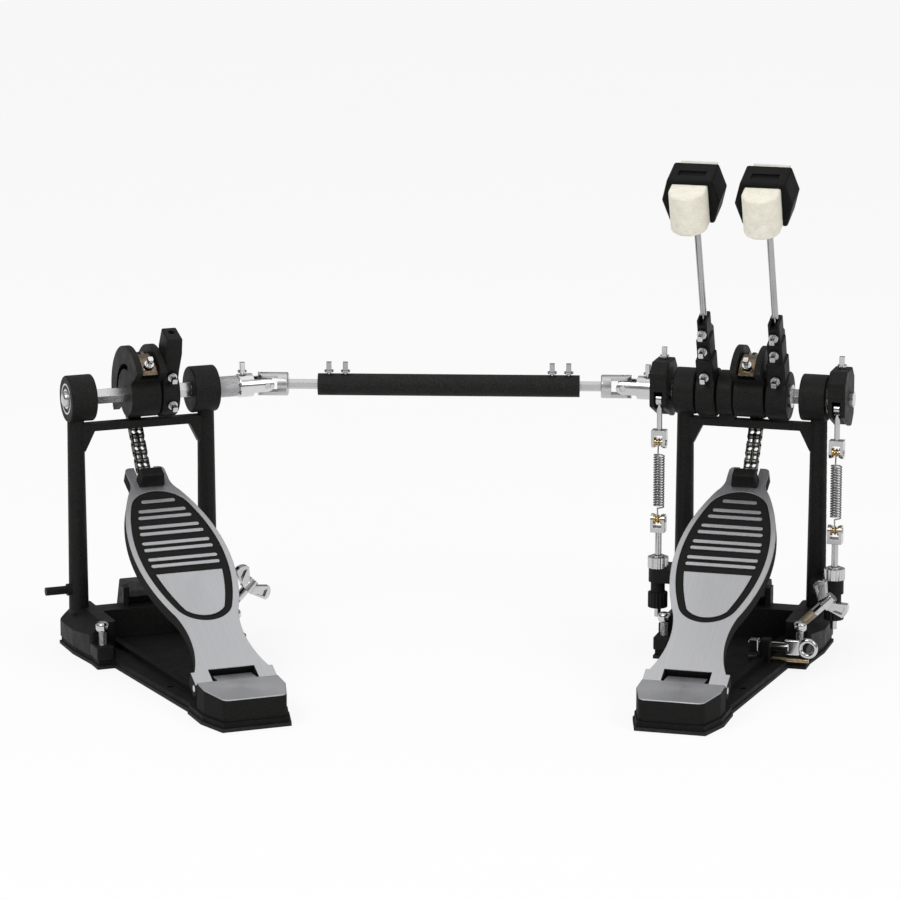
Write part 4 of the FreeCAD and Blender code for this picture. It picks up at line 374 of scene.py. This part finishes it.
def turned_steel(name, side, tone=BRIGHT_STEEL, rough=0.22):
    """Bright turned steel, with fine rings about its axle."""
    g = Graph(name)
    x, _, _ = g.split(g.local(axle_matrix(side)))
    rings = g.node("ShaderNodeTexNoise", noise_dimensions="1D")
    g.put(rings.inputs["W"], x)
    rings.inputs["Scale"].default_value = RINGS
    colour, roughness = polished(g, tone, rough)
    normal, _ = g.edge(0.5)
    g.set(Base_Color=colour, Roughness=roughness, Metallic=1.0)
    g.bump(rings.outputs["Fac"], strength=0.12, distance=0.1, normal=normal)
    return g.material


def sleeve_steel(name, side, start, end):
    """Bright steel with a frosted, knurled stretch between two places along the axle."""
    g = Graph(name)
    x, y, z = g.split(g.local(axle_matrix(side)))
    frost = g.between(x, start * MM, end * MM, FROST_EDGE)
    round_way = g.math("MULTIPLY", g.math("ARCTAN2", y, z), KNURLS)
    long_way = g.math("MULTIPLY", x, KNURL_TWIST)
    turns = g.math("SINE", g.math("ADD", round_way, long_way))
    counter = g.math("SINE", g.math("SUBTRACT", round_way, long_way))
    knurl = g.math("MULTIPLY", g.math("MULTIPLY", turns, counter), frost)
    colour, roughness = polished(g, YOKE_STEEL, 0.14)
    normal, _ = g.edge(0.5)
    g.set(Base_Color=g.mix(frost, colour, FROSTED_STEEL), Metallic=1.0)
    g.set(Roughness=g.blend(frost, roughness, 0.42))
    g.bump(knurl, strength=0.6, distance=0.25, normal=normal)
    return g.material


def brushed(g, local):
    """Brushed aluminium, scratched along Y of a frame; returns colour, roughness and height."""
    scratch = (SCRATCH_ACROSS, SCRATCH_ALONG, SCRATCH_ACROSS)
    hair = g.noise(1.0, detail=2.0, vector=g.scaled(local, scratch))
    band = g.noise(1.0, detail=2.0, vector=g.scaled(local, [part / BAND_WIDTH for part in scratch]))
    both = g.math("ADD", g.math("MULTIPLY", hair, 0.65), g.math("MULTIPLY", band, 0.35))
    return g.ramp(both, BRUSHED_STOPS), g.span(both, 0.3, 0.7, 0.34, 0.48), both


def dressed_aluminium(name, local, top):
    """Brushed faces where the mask says so, sandy black coat elsewhere."""
    g = Graph(name)
    vector = g.local(local)
    bare = top(g, vector)
    colour, roughness, height = brushed(g, vector)
    sand = g.noise(1300.0, detail=2.0)
    coat = g.ramp(sand, SANDY_STOPS)
    normal, _ = g.edge(0.6)
    g.set(Base_Color=g.mix(bare, coat, colour), Metallic=g.math("MULTIPLY", bare, 0.9))
    g.set(Roughness=g.blend(bare, 0.7, roughness), Specular_IOR_Level=0.1, Anisotropic=0.4)
    g.bump(g.blend(bare, sand, height), strength=0.18, distance=0.1, normal=normal)
    return g.material


def board_top(g, vector):
    """The footboard's raised top: its rim, its bars and its bare pad, but not the floor of the inlay."""
    return g.step(g.split(vector)[2], BOARD_FACE * MM, CLEAR_EDGE)


def heel_top(g, vector):
    """The top of the heel block, which slopes down towards the heel."""
    _, y, z = g.split(vector)
    fall = g.math("MULTIPLY", g.math("SUBTRACT", y, HEEL_CREST * MM), HEEL_SLOPE)
    plane = g.math("ADD", g.math("MINIMUM", fall, 0.0), HEEL_HEIGHT * MM)
    return g.step(g.math("SUBTRACT", z, plane), -HEEL_SKIN * MM, CLEAR_EDGE)


def chain_metal(name, side, strap):
    """Dark oiled plates, paler rollers, and on the cam the bronze strap with its bright screw."""
    g = Graph(name)
    x, y, z = g.split(g.local(axle_matrix(side)))
    off = g.math("ABSOLUTE", g.math("SUBTRACT", g.math("ABSOLUTE", x), STRAND_OFFSET * MM))
    roller = g.below(off, ROLLER_HALF * MM, HAIR_EDGE)
    oil = g.noise(420.0, detail=4.0)
    colour = g.mix(roller, g.ramp(oil, LINK_STOPS), g.ramp(oil, ROLLER_STOPS))
    rough = g.span(oil, 0.3, 0.7, 0.3, 0.48)
    if strap:
        angle = g.math("ARCTAN2", y, g.math("MULTIPLY", z, -1.0))
        front = g.math("LESS_THAN", angle, 0.0)
        held = g.math("MULTIPLY", g.step(angle, math.radians(STRAP_START), STRAP_EDGE), front)
        screw = g.step(g.length(y, z), STRAP_RADIUS * MM, HAIR_EDGE)
        colour = g.mix(held, colour, g.mix(screw, g.ramp(oil, BRONZE_STOPS), STRAP_SCREW))
        rough = g.blend(held, rough, 0.16)
    normal, _ = g.edge(0.3)
    g.set(Base_Color=colour, Roughness=rough, Metallic=1.0)
    g.bump(oil, strength=0.08, distance=0.1, normal=normal)
    return g.material


def bearing_metal(name, side):
    """A ball bearing's bright rings with a dark shield between them."""
    g = Graph(name)
    _, y, z = g.split(g.local(axle_matrix(side)))
    shield = g.between(g.length(y, z), SHIELD_INNER * MM, SHIELD_OUTER * MM, CLEAR_EDGE)
    colour, roughness = polished(g, BEARING_STEEL, 0.2)
    normal, _ = g.edge(0.4)
    g.set(Base_Color=g.mix(shield, colour, BEARING_SHIELD), Metallic=g.blend(shield, 1.0, 0.4))
    g.set(Roughness=g.blend(shield, roughness, 0.5))
    g.bump(g.noise(900.0), strength=0.06, distance=0.1, normal=normal)
    return g.material


def clevis_metal(name, eye):
    """Chrome fork with a brass bush about its eye."""
    g = Graph(name)
    x, y, z = g.split(g.local(pedal_matrix("right")))
    across = g.math("ABSOLUTE", g.math("SUBTRACT", g.math("ABSOLUTE", x), SPRING_OFFSET * MM))
    dy, dz = g.math("SUBTRACT", y, SPRING_Y * MM), g.math("SUBTRACT", z, eye * MM)
    inside = g.math("LESS_THAN", g.length(dy, dz), BUSH_RADIUS * MM)
    near = g.math("MULTIPLY", g.math("LESS_THAN", across, BUSH_HALF * MM), inside)
    colour, roughness = polished(g, FORK_CHROME, 0.12)
    brass = g.ramp(g.noise(260.0, detail=4.0), BRASS_STOPS)
    normal, _ = g.edge(0.5)
    g.set(Base_Color=g.mix(near, colour, brass), Roughness=roughness, Metallic=1.0)
    g.bump(g.noise(300.0), strength=0.05, distance=0.1, normal=normal)
    return g.material


def wing_metal(name, side):
    """Chrome wings on a brass-brown threaded shank."""
    g = Graph(name)
    rise = math.radians(BOLT_RISE)
    x, _, z = g.split(g.local(pedal_matrix(side)))
    along = g.math("ADD", g.math("MULTIPLY", g.math("SUBTRACT", x, BOLT_X * MM), math.cos(rise)),
                   g.math("MULTIPLY", g.math("SUBTRACT", z, BOLT_HEIGHT * MM), math.sin(rise)))
    shank = g.below(along, BOLT_SHANK * MM, SOFT_EDGE)
    colour, roughness = polished(g, WING_CHROME, 0.12)
    brown = g.ramp(g.noise(300.0), SHANK_STOPS)
    normal, _ = g.edge(0.7)
    g.set(Base_Color=g.mix(shank, colour, brown), Roughness=g.blend(shank, roughness, 0.3), Metallic=1.0)
    g.bump(g.math("MULTIPLY", g.wave(along, BOLT_PITCH), shank), strength=0.8, distance=0.25, normal=normal)
    return g.material


def key_metal(name):
    """The chrome tuning key, and the rod below it, coloured brownish as a painted shadow under the key."""
    g = Graph(name)
    z = g.split(g.object)[2]
    rod = g.below(z, KEY_ROD_TOP * MM, CLEAR_EDGE)
    colour, roughness = polished(g, WING_CHROME, 0.12)
    # The rod is coloured brownish: a painted shadow under the key
    brown = g.ramp(g.noise(300.0), KEY_ROD_SHADOW_STOPS)
    normal, _ = g.edge(0.6)
    g.set(Base_Color=g.mix(rod, colour, brown), Roughness=g.blend(rod, roughness, 0.3), Metallic=1.0)
    g.bump(g.noise(300.0), strength=0.05, distance=0.1, normal=normal)
    return g.material


def felt_cloth(name):
    """Pressed cream felt: fibres that mostly lie across, denser clumps, a soft sheen."""
    g = Graph(name)
    fibre = g.noise(1.0, detail=5.0, vector=g.scaled(g.local(leaning_matrix()), FIBRES), roughness=0.7)
    clump = g.noise(150.0, detail=4.0)
    both = g.math("ADD", g.math("MULTIPLY", fibre, 0.6), g.math("MULTIPLY", clump, 0.4))
    g.set(Base_Color=g.ramp(both, FELT_STOPS), Roughness=0.95, Specular_IOR_Level=0.15)
    g.set(Sheen_Weight=0.25, Sheen_Roughness=0.6)
    g.bump(both, strength=0.5, distance=0.6)
    return g.material


def white_plastic(name):
    """The hard white face on the back of a beater."""
    g = Graph(name)
    wear = g.noise(90.0, detail=4.0)
    g.set(Base_Color=g.ramp(wear, FACE_STOPS))
    g.set(Roughness=g.span(wear, 0.3, 0.7, 0.3, 0.45))
    g.bump(g.noise(700.0), strength=0.08, distance=0.1)
    return g.material


def floor_material():
    """A pale floor that keeps a soft shadow and reads as white to the camera and in reflections."""
    g = Graph("studio_floor")
    g.set(Base_Color=g.ramp(g.noise(3.0), FLOOR_STOPS), Roughness=0.9)
    glow = g.node("ShaderNodeEmission")
    g.put(glow.inputs["Color"], (1.0, 1.0, 1.0))
    path = g.node("ShaderNodeLightPath")
    seen = g.math("MAXIMUM", path.outputs["Is Camera Ray"], path.outputs["Is Glossy Ray"])
    join = g.node("ShaderNodeMixShader")
    g.put(join.inputs[0], g.math("MULTIPLY", seen, FLOOR_GLOW))
    g.put(join.inputs[1], g.shader.outputs[0])
    g.put(join.inputs[2], glow.outputs[0])
    g.put(g.tree.nodes["Material Output"].inputs["Surface"], join.outputs[0])
    return g.material


# Pieces

def mesh_piece(name, bm, material, body):
    """A new smooth object from a mesh in the row frame, riding on a body unless that is None."""
    mesh = bpy.data.meshes.new(name)
    bmesh.ops.recalc_face_normals(bm, faces=bm.faces)
    for face in bm.faces:
        face.smooth = True
    bm.to_mesh(mesh)
    bm.free()
    piece = bpy.data.objects.new(name, mesh)
    bpy.context.scene.collection.objects.link(piece)
    mesh.materials.append(material)
    if body is not None:
        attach(piece, body)
    return piece


def join_rings(bm, rings):
    """Faces between rings of vertices that follow each other."""
    for low, high in zip(rings, rings[1:]):
        for index in range(len(low)):
            following = (index + 1) % len(low)
            bm.faces.new((low[index], low[following], high[following], high[index]))


# The felts, in the beaters' frame: where they stand along the axle, and their sizes (millimetres)
BEATERS = {"left": -39.75, "right": 25.5}
FELT_HALF = 16.5
FELT_FRONT = 43.0
FELT_REAR = 25.0
FELT_LOW = 184.0
FELT_TOP = 222.0
FELT_BOW = FELT_HALF * 0.9
FELT_RIM = 2.2
FELT_MIDDLE = -9.0

# How finely a felt is divided along its sides, bow and rear, over its rims and up its walls
SIDE_STEPS = 14
BOW_STEPS = 28
REAR_STEPS = 12
RIM_STEPS = 5
WALL_STEPS = 16

# The uneven skin of a felt: waves per millimetre and height of each, and how far the skin is sunk
FUZZ_WAVES = ((0.55, 0.18), (1.7, 0.1))
FUZZ_SINK = 0.28

# The hard strip on the back of a felt (millimetres)
FACE_DEPTH = 2.0
FACE_ROUND = 0.6


def felt_plan(inset):
    """The felt's outline seen along the rod, from its rear round the bowed front; points in millimetres."""
    half = FELT_HALF - inset
    rear = FELT_REAR - inset
    front, bow = -FELT_FRONT + inset, -FELT_FRONT + FELT_BOW
    sag = bow - front
    radius = (half ** 2 + sag ** 2) / (2 * sag)
    reach = math.asin(min(1.0, half / radius))
    points = []
    for index in range(SIDE_STEPS + 1):
        share = index / SIDE_STEPS
        points.append((-half, rear * (1 - share) + bow * share))
    for index in range(1, BOW_STEPS):
        angle = -reach + 2 * reach * index / BOW_STEPS
        points.append((radius * math.sin(angle), front + radius - radius * math.cos(angle)))
    for index in range(SIDE_STEPS + 1):
        share = index / SIDE_STEPS
        points.append((half, bow * (1 - share) + rear * share))
    for index in range(1, REAR_STEPS):
        points.append((half - 2 * half * index / REAR_STEPS, rear))
    return points


def felt_layers():
    """Heights of the felt's rings and how far each is drawn in, so that its rims are rounded."""
    quarter = [math.pi / 2 * index / RIM_STEPS for index in range(RIM_STEPS + 1)]
    low, top = FELT_LOW + FELT_RIM, FELT_TOP - FELT_RIM
    layers = []
    for angle in quarter:
        layers.append((low - FELT_RIM * math.cos(angle), FELT_RIM - FELT_RIM * math.sin(angle)))
    for index in range(1, WALL_STEPS):
        layers.append((low + (top - low) * index / WALL_STEPS, 0.0))
    for angle in quarter:
        layers.append((top + FELT_RIM * math.sin(angle), FELT_RIM - FELT_RIM * math.cos(angle)))
    return layers


def make_felt(name, material):
    """A pressed felt head with rounded rims and a fibrous, slightly uneven skin."""
    place = leaning_matrix() @ Matrix.Scale(MM, 4) @ Matrix.Translation((BEATERS[name], 0, 0))
    bm = bmesh.new()
    rings = []
    for height, inset in felt_layers():
        ring = []
        for x, y in felt_plan(inset):
            spot = Vector((x, y, height))
            away = Vector((x, y - FELT_MIDDLE, 0)).normalized()
            fuzz = sum(noise.noise(spot * wave) * size for wave, size in FUZZ_WAVES) - FUZZ_SINK
            ring.append(bm.verts.new(place @ (spot + away * fuzz)))
        rings.append(ring)
    join_rings(bm, rings)
    for ring in (rings[0], rings[-1]):
        bm.faces.new(ring)
    piece = mesh_piece(name + "_felt_head", bm, material, name + "_beater")
    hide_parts(name + "_beater_felt")


def make_beater_face(name, material):
    """The hard strip on the back of a felt, with rounded edges."""
    bm = bmesh.new()
    bmesh.ops.create_cube(bm, size=1.0)
    size = Vector((2 * FELT_HALF, FACE_DEPTH, FELT_TOP - FELT_LOW))
    middle = Vector((BEATERS[name], FELT_REAR + FACE_DEPTH / 2, (FELT_TOP + FELT_LOW) / 2))
    for vert in bm.verts:
        vert.co = vert.co * size + middle
    bmesh.ops.bevel(bm, geom=list(bm.edges), offset=FACE_ROUND, segments=3, affect="EDGES", profile=0.5)
    bm.transform(leaning_matrix() @ Matrix.Scale(MM, 4))
    piece = mesh_piece(name + "_beater_face", bm, material, name + "_beater")


# The return springs: heights, the coil's and the hooks' radius, and the wire's (millimetres)
SPRING_LOW, SPRING_HIGH = 121.0, 176.0
SPRING_LEAD = 3.1
SPRING_TURNS = 21
COIL = 4.6
HOOK = 3.45
WIRE = 0.7
EYES = (112.8, 184.2)

# How far a hook goes round its eye in degrees, and how finely the wire is divided
HOOK_TURN = 250
HOOK_STEPS = 21
LEAD_STEPS = 8
TURN_STEPS = 28
WIRE_SIDES = 8


def hook_points(eye, start):
    """An open hook about an eye, from a start angle in degrees."""
    points = []
    for index in range(HOOK_STEPS + 1):
        angle = math.radians(start + HOOK_TURN * index / HOOK_STEPS)
        points.append(Vector((0, -HOOK * math.cos(angle), eye + HOOK * math.sin(angle))))
    return points


def lead_points(radii, heights):
    """The eased passage between a hook and the coil, without its two ends."""
    points = []
    for index in range(1, LEAD_STEPS):
        share = index / LEAD_STEPS
        bend = share * share * (3 - 2 * share)
        radius = radii[0] + (radii[1] - radii[0]) * bend
        points.append(Vector((0, -radius, heights[0] + (heights[1] - heights[0]) * share)))
    return points


def spring_line():
    """Points of a return spring in millimetres about its own axis: a hook, the turns and another hook."""
    first, last = SPRING_LOW + SPRING_LEAD, SPRING_HIGH - SPRING_LEAD
    points = hook_points(EYES[0], -HOOK_TURN)
    points += lead_points((HOOK, COIL), (EYES[0], first))
    count = SPRING_TURNS * TURN_STEPS
    for index in range(count + 1):
        angle = 2 * math.pi * SPRING_TURNS * index / count
        height = first + (last - first) * index / count
        points.append(Vector((COIL * math.sin(angle), -COIL * math.cos(angle), height)))
    points += lead_points((COIL, HOOK), (last, EYES[1]))
    points += hook_points(EYES[1], 0)
    return points


def tube(bm, points, radius, sides):
    """A round tube along points, with closed ends."""
    rings = []
    across = Vector((1, 0, 0))
    for index, spot in enumerate(points):
        way = points[min(index + 1, len(points) - 1)] - points[max(index - 1, 0)]
        way.normalize()
        across = (across - way * across.dot(way)).normalized()
        other = way.cross(across)
        ring = []
        for side in range(sides):
            angle = 2 * math.pi * side / sides
            ring.append(bm.verts.new(spot + (across * math.cos(angle) + other * math.sin(angle)) * radius))
        rings.append(ring)
    join_rings(bm, rings)
    bm.faces.new(list(reversed(rings[0])))
    bm.faces.new(rings[-1])


def make_spring(name, way, material):
    """A coiled return spring, fixed in the row frame."""
    bm = bmesh.new()
    tube(bm, spring_line(), WIRE, WIRE_SIDES)
    column = Matrix.Translation((SPRING_OFFSET * way * MM, SPRING_Y * MM, 0)) @ Matrix.Scale(MM, 4)
    place = pedal_matrix("right") @ column
    bm.transform(place)
    piece = mesh_piece(name + "_return_spring", bm, material, None)
    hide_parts(name + "_spring")
    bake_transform(piece)


# Dressing

def dress(material, *names):
    """Give CAD nodes a material."""
    for name in names:
        mesh = NODES[name].data
        mesh.materials.clear()
        mesh.materials.append(material)


def dress_pedals():
    """Materials of the nodes that each pedal has; returns the one of the castings."""
    casting = powder_coat("cast_coat", dark=0.004, light=0.010, grain=1150.0, rough=0.54)
    plate = powder_coat("plate_coat", dark=0.002, light=0.006, grain=1200.0, rough=0.7)
    sole = rubber("sole_rubber", dark=0.012, light=0.028)
    jaw = rubber("jaw_rubber", dark=0.03, light=0.06)
    spike = chrome("spike_chrome", thread=SPIKE_THREAD)
    pin = chrome("pin_steel", PIN_STEEL, rough=0.25)
    for side in ("left", "right"):
        dress(casting, side + "_frame", side + "_toe_cap", side + "_cam")
        dress(plate, side + "_base_plate")
        dress(sole, side + "_sole")
        dress(jaw, side + "_clamp_jaw")
        dress(spike, side + "_spike_screws")
        dress(pin, side + "_hinge_pin")
        dress(wing_metal(side + "_wing_metal", side), side + "_wing_bolt")
        dress(bearing_metal(side + "_bearing_metal", side), side + "_bearings")
        dress(dressed_aluminium(side + "_board_metal", board_matrix(side), board_top), side + "_footboard")
        dress(dressed_aluminium(side + "_heel_metal", pedal_matrix(side), heel_top), side + "_heel_block")
        links = chain_metal(side + "_chain_metal", side, strap=False)
        dress(links, side + "_chain_drop", side + "_chain_links")
        dress(chain_metal(side + "_wrap_metal", side, strap=True), side + "_chain_wrap")
    return casting


def dress_drive(casting):
    """Materials of the axles, the drive shaft, the beaters and the spring gear."""
    bright = chrome("rod_chrome", ROD_CHROME, rough=0.12)
    dress(casting, "left_hub", "left_beater_hub", "right_beater_hub", "centre_bearing")
    dress(casting, "left_spring_arm", "right_spring_arm")
    dress(powder_coat("tube_coat", dark=0.007, light=0.016, grain=1150.0, rough=0.64), "shaft_tube")
    dress(turned_steel("left_axle_steel", "left"), "left_axle", "left_cross")
    dress(turned_steel("right_axle_steel", "right"), "right_axle", "right_cross", "slave_shaft")
    dress(sleeve_steel("left_yoke_steel", "left", SLEEVE_START, SLEEVE_END), "left_yoke")
    slide = turned_steel("slide_rod_steel", "left", SLIDE_STEEL, rough=0.3)
    dress(slide, "left_slide_rod", "right_slide_rod")
    dress(bright, "tube_screws", "left_beater_rod", "right_beater_rod")
    dress(chrome("nut_chrome", NUT_CHROME, rough=0.16), "left_thumb_nut", "right_thumb_nut")
    dress(moulded_plastic("housing_plastic"), "left_beater_housing", "right_beater_housing")
    dress(clevis_metal("hook_metal", EYES[1]), "left_spring_hook", "right_spring_hook")
    dress(clevis_metal("rod_metal", EYES[0]), "tension_rods")
    dress(key_metal("key_metal"), "drum_key")


def make_pieces():
    """Felts with their faces, and springs."""
    felt = felt_cloth("cream_felt")
    face = white_plastic("white_face")
    wire = chrome("spring_wire", SPRING_CHROME, rough=0.14)
    for name, way in (("left", -1), ("right", 1)):
        make_felt(name, felt)
        make_beater_face(name, face)
        make_spring(name, way, wire)


# Studio, in metres, watts and degrees

FLOOR_SIZE = 24.0
FLOOR_PLACE = (0, 4.0, -0.0002)
FLOOR_GLOW = 0.86
SKY_LOW = (0.05, (0.14, 0.14, 0.142, 1.0))
SKY_HIGH = (0.75, (0.7, 0.7, 0.7, 1.0))
SKY_STRENGTH = 0.9
LAMPS = {
    "key_box": {"at": (-1.3, -1.6, 2.2), "aim": (0, 0, 0.15), "size": (1.6, 1.2), "power": 29.0},
    "fill_box": {"at": (1.7, -1.5, 1.5), "aim": (0, 0, 0.2), "size": (1.2, 1.2), "power": 14.0},
    "top_box": {"at": (0.1, 0.2, 2.4), "aim": (0, 0.1, 0.0), "size": (2.4, 1.6), "power": 7.0},
}
CAMERA_PLACE = (-0.0037, -3.874, 1.0654)
CAMERA_TILT = 77.5
CAMERA_TURN = -0.0316
CAMERA_LENS = 181.49
CAMERA_SENSOR = 36.0
CAMERA_REACH = 60.0


def make_floor():
    """A wide floor under the pedals, which is not part of the object."""
    bpy.ops.mesh.primitive_plane_add(size=FLOOR_SIZE, location=FLOOR_PLACE)
    floor = bpy.context.object
    floor.name = "studio_floor"
    floor.data.materials.append(floor_material())


def soft_light(name, at, aim, size, power):
    """A rectangular lamp that looks from one place to another."""
    light = bpy.data.lights.new(name, "AREA")
    light.shape = "RECTANGLE"
    light.size, light.size_y = size
    light.energy = power
    item = bpy.data.objects.new(name, light)
    bpy.context.scene.collection.objects.link(item)
    item.location = at
    item.rotation_euler = (Vector(aim) - Vector(at)).to_track_quat("-Z", "Y").to_euler()


def make_lights():
    """A dim white room with large soft boxes, so that bright metal has light and dark to show."""
    world = bpy.data.worlds.new("studio")
    bpy.context.scene.world = world
    world.use_nodes = True
    tree = world.node_tree
    back = tree.nodes["Background"]
    coords = tree.nodes.new("ShaderNodeTexCoord")
    parts = tree.nodes.new("ShaderNodeSeparateXYZ")
    tree.links.new(coords.outputs["Generated"], parts.inputs[0])
    ramp = tree.nodes.new("ShaderNodeValToRGB")
    for element, (place, colour) in zip(ramp.color_ramp.elements, (SKY_LOW, SKY_HIGH)):
        element.position = place
        element.color = colour
    tree.links.new(parts.outputs[2], ramp.inputs[0])
    tree.links.new(ramp.outputs[0], back.inputs["Color"])
    back.inputs["Strength"].default_value = SKY_STRENGTH
    for name, lamp in LAMPS.items():
        soft_light(name, **lamp)


def make_camera():
    """The camera of the photograph, as fitted to points read off it."""
    camera = bpy.data.cameras.new("photo_camera")
    camera.sensor_width = CAMERA_SENSOR
    camera.lens = CAMERA_LENS
    camera.clip_end = CAMERA_REACH
    item = bpy.data.objects.new("photo_camera", camera)
    bpy.context.scene.collection.objects.link(item)
    item.location = CAMERA_PLACE
    item.rotation_euler = Euler((math.radians(CAMERA_TILT), 0.0, math.radians(CAMERA_TURN)), "XYZ")
    bpy.context.scene.camera = item


def main():
    """Studio, materials and new pieces."""
    make_camera()
    make_floor()
    make_lights()
    dress_drive(dress_pedals())
    make_pieces()
    bpy.context.scene.view_settings.view_transform = "Standard"


main()
